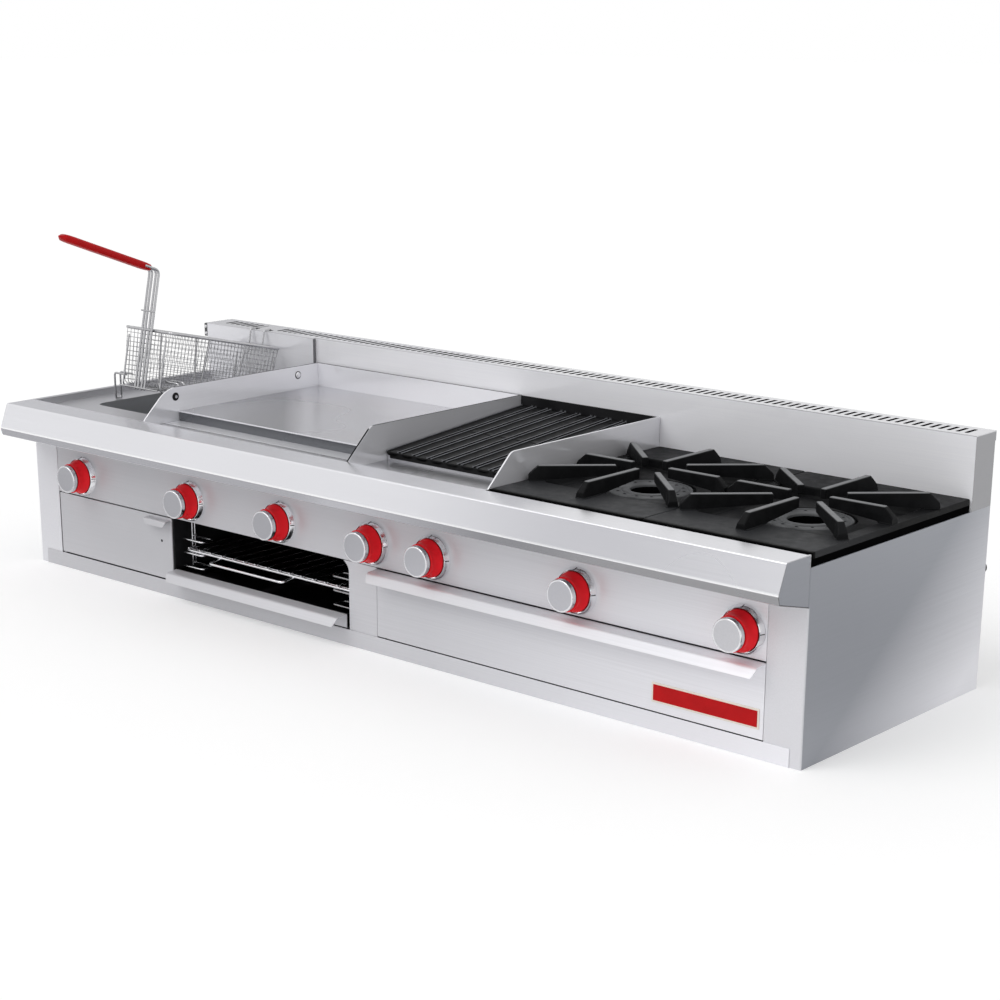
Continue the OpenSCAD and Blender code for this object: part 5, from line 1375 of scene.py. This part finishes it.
class RANGE_OT_broiler(PieceOperator, bpy.types.Operator):
    """The broiler's wire ladders and its sliding rack."""

    bl_idname = "gas_range.broiler"
    bl_label = "Broiler wires"
    RADIUS, BAR = 2, 2.7  # of a wire and of the rack's frame
    RUNGS = (59.5, 85.5, 111.5)
    REACH = 56  # of a rung into the cavity
    POSTS, BACK = (25, 31.5), 28  # how far behind a rung's front its posts and its rear are
    ROD_COUNT, LOOP = 15, (96, 292)  # the rack's rods, and its pull loop's ends from the left

    def guides(self):
        """Ladders in the four corners: two posts each, and rungs bent back on themselves; the right ones in a
        darker wire as painted shade.
        """
        low, high = box("broiler_guides")
        r, centre = self.RADIUS, (low[X] + high[X]) / 2
        surfaces = {"bright_wire": [], "net_wire": []}
        # painted shade: the right ladders take the darker net wire, as if in shadow
        for finish, mirror in (("bright_wire", 1), ("net_wire", -1)):
            wall = mirror * (low[X] + r - centre)
            reach, stop = wall + mirror * self.REACH, wall + mirror * 4
            for y in (low[Y] + r, high[Y] - 33.5):
                for post in self.POSTS:
                    ends = [(centre + wall, y + post, z) for z in (low[Z] + r, high[Z] - r)]
                    surfaces[finish].append(tubes(ends, r, 10, (1, 0, 0)))
                back = y + self.BACK
                for z in self.RUNGS:
                    run = np.array([(wall, back, z), (reach, back, z), (reach, y, z), (stop, y, z)])
                    path = rounded_path(run + [centre, 0, 0], 7, 6)
                    surfaces[finish].append(tubes(path, r, 10, (0, 0, 1)))
        make_piece("broiler_guide_wires", surfaces, "cabinet", ["broiler_guides"], 60)

    def rack(self):
        """A frame of thick wire, a second bar in front, rods across them and a pull loop."""
        low, high = box("broiler_rack")
        bar, r = self.BAR, self.RADIUS
        top = high[Z] - r
        z = top - 4
        x0, x1 = low[X] + bar, high[X] - bar
        y0, y1 = low[Y] + 30.5, high[Y] - 3
        corners = [(x0, y0, z), (x1, y0, z), (x1, y1, z), (x0, y1, z)]
        parts = [tubes(rounded_path(corners, 9, 6, True), bar, 12, (0, 0, 1), True)]
        parts.append(tubes([(x0, y0 + 7, z), (x1, y0 + 7, z)], bar - 0.2, 12, (0, 0, 1)))
        rods = x0 + np.linspace(10, x1 - x0 - 10, self.ROD_COUNT)
        parts.append(tubes([[(x, y0 - 1, top), (x, y1 + 1, top)] for x in rods], r, 10, (0, 0, 1)))
        left, right = x0 + np.array(self.LOOP)
        near, far = (y0 + 4, z - 3), (y0 - 28, z - 6)
        loop = rounded_path([(left, *near), (left, *far), (right, *far), (right, *near)], 9, 7)
        parts.append(tubes(loop, r + 0.5, 12, (0, 0.09, 1)))
        make_piece("broiler_rack_wires", {"bright_wire": parts}, "rack", ["broiler_rack"], 60)

    def build(self, sizes):
        self.guides()
        self.rack()


# Stage


def light_mask(tree):
    """1 for rays from the camera, off gloss or through glass, and 0 for the rest."""
    rays = add_node(tree, "LightPath", {}).outputs
    value = rays["Is Camera Ray"]
    for ray in ("Is Glossy Ray", "Is Transmission Ray"):
        value = add_node(tree, "Math", {0: value, 1: rays[ray]}, operation="MAXIMUM").outputs["Value"]
    return value


class RANGE_OT_stage(bpy.types.Operator):
    """Camera, white room, pale floor, grey cards for the steel to mirror, and one large lamp."""

    bl_idname = "gas_range.stage"
    bl_label = "Stage"
    bl_options = {"REGISTER"}
    WHITE = (1, 1, 1, 1)
    FLOOR_REACH = 30.0
    LAMP_TURN = (math.radians(38), math.radians(-22), 0)
    # Upright cards: grey, one foot, the other foot, bottom and top
    UPRIGHT = {
        "card_back": (0.6, (-4.6, 0.9), (-1.6, 1.9), 0.2, 1.7),
        "card_dark": (0.46, (-2.65, 1.53), (-2.2, 1.68), 0.2, 0.87),
        "card_low": (0.86, (-2.2, 1.68), (-1.6, 1.88), 0.2, 0.87),
        "card_high": (0.7, (-1.9, -2.65), (-0.6, -2.65), 0.7, 2.4),
    }
    # Cards on the floor: grey, lowest and highest x, lowest and highest y
    LYING = {
        "card_side": (0.22, (1.03, 2.6), (-0.7, 0.8)),
        "card_front": (0.58, (-3.4, -0.35), (-2.2, -0.36)),
        "card_middle": (0.8, (-0.35, 0.25), (-2.2, -0.36)),
    }

    def execute(self, context):
        scene = context.scene
        look = scene.range_stage
        scene.view_settings.view_transform = "Standard"
        self.camera(scene, look)
        self.room(scene, look)
        self.floor(scene, look)
        self.cards(scene)
        self.lamp(scene, look)
        return {"FINISHED"}

    def camera(self, scene, look):
        """The camera, placed and turned as the stage says."""
        data = bpy.data.cameras.new("range_camera")
        data.lens = look.lens
        data.shift_x, data.shift_y = look.shift_x, look.shift_y
        scene.camera = bpy.data.objects.new("range_camera", data)
        scene.camera.location = look.eye
        scene.camera.rotation_euler = (look.pitch, 0, look.turn)
        scene.collection.objects.link(scene.camera)

    def room(self, scene, look):
        """A white world: at full strength where it is seen, and as the fill light elsewhere."""
        world = bpy.data.worlds.new("white_room")
        world.use_nodes = True
        tree = world.node_tree
        shown = tree.nodes["Background"]
        connect(tree, shown, {"Color": self.WHITE})
        fill = add_node(tree, "Background", {"Color": self.WHITE, "Strength": look.fill})
        both = add_node(tree, "MixShader", {0: light_mask(tree), 1: fill.outputs[0], 2: shown.outputs[0]})
        connect(tree, tree.nodes["World Output"], {"Surface": both.outputs[0]})
        scene.world = world

    def sheet(self, scene, name, corners):
        """A flat stage sheet with a material of its own. Returns the sheet and the material's tree."""
        material = bpy.data.materials.new(name)
        material.use_nodes = True
        mesh = bpy.data.meshes.new(name)
        mesh.from_pydata(corners, [], [(0, 1, 2, 3)])
        mesh.materials.append(material)
        thing = bpy.data.objects.new(name, mesh)
        scene.collection.objects.link(thing)
        return thing, material.node_tree

    def lying(self, scene, name, x, y, z):
        """A level sheet."""
        return self.sheet(scene, name, [(x[0], y[0], z), (x[1], y[0], z), (x[1], y[1], z), (x[0], y[1], z)])

    def floor(self, scene, look):
        """A wide pale floor that glows a little where it is seen."""
        reach = (-self.FLOOR_REACH, self.FLOOR_REACH)
        _, tree = self.lying(scene, "floor", reach, reach, 0)
        glow = add_node(tree, "Math", {0: light_mask(tree), 1: look.glow}, operation="MULTIPLY").outputs[0]
        inputs = {"Base Color": (*look.floor, 1), "Roughness": 0.9, "Specular IOR Level": 0.0}
        inputs |= {"Emission Color": self.WHITE, "Emission Strength": glow}
        connect(tree, tree.nodes["Principled BSDF"], inputs)

    def cards(self, scene):
        """Grey cards that only reflections see, so that the steel has tones to mirror."""
        cards = []
        for name, (grey, a, b, low, high) in self.UPRIGHT.items():
            cards.append((grey, *self.sheet(scene, name, [(*a, low), (*b, low), (*b, high), (*a, high)])))
        for name, (grey, x, y) in self.LYING.items():
            cards.append((grey, *self.lying(scene, name, x, y, MM)))
        for grey, card, tree in cards:
            plain = add_node(tree, "Emission", {"Color": (grey, grey, grey * 1.03, 1)})
            connect(tree, tree.nodes["Material Output"], {"Surface": plain.outputs[0]})
            card.visible_camera = card.visible_diffuse = card.visible_shadow = False

    def lamp(self, scene, look):
        """A soft sun from above, in front and to the left."""
        data = bpy.data.lights.new("key_lamp", "SUN")
        data.energy = look.key
        data.angle = look.key_spread
        lamp = bpy.data.objects.new("key_lamp", data)
        lamp.rotation_euler = self.LAMP_TURN
        scene.collection.objects.link(lamp)


class RANGE_PT_panel(bpy.types.Panel):
    """The range's builders in the sidebar."""

    bl_idname = "RANGE_PT_panel"
    bl_label = "Gas range"
    bl_space_type = "VIEW_3D"
    bl_region_type = "UI"
    bl_category = "Gas range"

    def draw(self, context):
        for operator in OPERATORS:
            self.layout.operator(operator.bl_idname)


GROUPS = {"range_sizes": RangeSizes, "range_colours": RangeColours, "range_stage": RangeStage}
OPERATORS = (
    RANGE_OT_stage, RANGE_OT_finishes, RANGE_OT_cabinet, RANGE_OT_rail, RANGE_OT_pulls, RANGE_OT_door,
    RANGE_OT_knobs, RANGE_OT_burner_tops, RANGE_OT_ring_burners, RANGE_OT_cooking, RANGE_OT_guards,
    RANGE_OT_louvers, RANGE_OT_basket, RANGE_OT_broiler,
)  # fmt: skip


def register():
    for cls in (*GROUPS.values(), *OPERATORS, RANGE_PT_panel):
        bpy.utils.register_class(cls)
    for name, group in GROUPS.items():
        setattr(bpy.types.Scene, name, PointerProperty(type=group))


def unregister():
    for name in GROUPS:
        delattr(bpy.types.Scene, name)
    for cls in (RANGE_PT_panel, *reversed(OPERATORS), *GROUPS.values()):
        bpy.utils.unregister_class(cls)


def main():
    register()
    for operator in OPERATORS:
        family, action = operator.bl_idname.split(".")
        getattr(getattr(bpy.ops, family), action)()


if __name__ == "__main__":
    main()
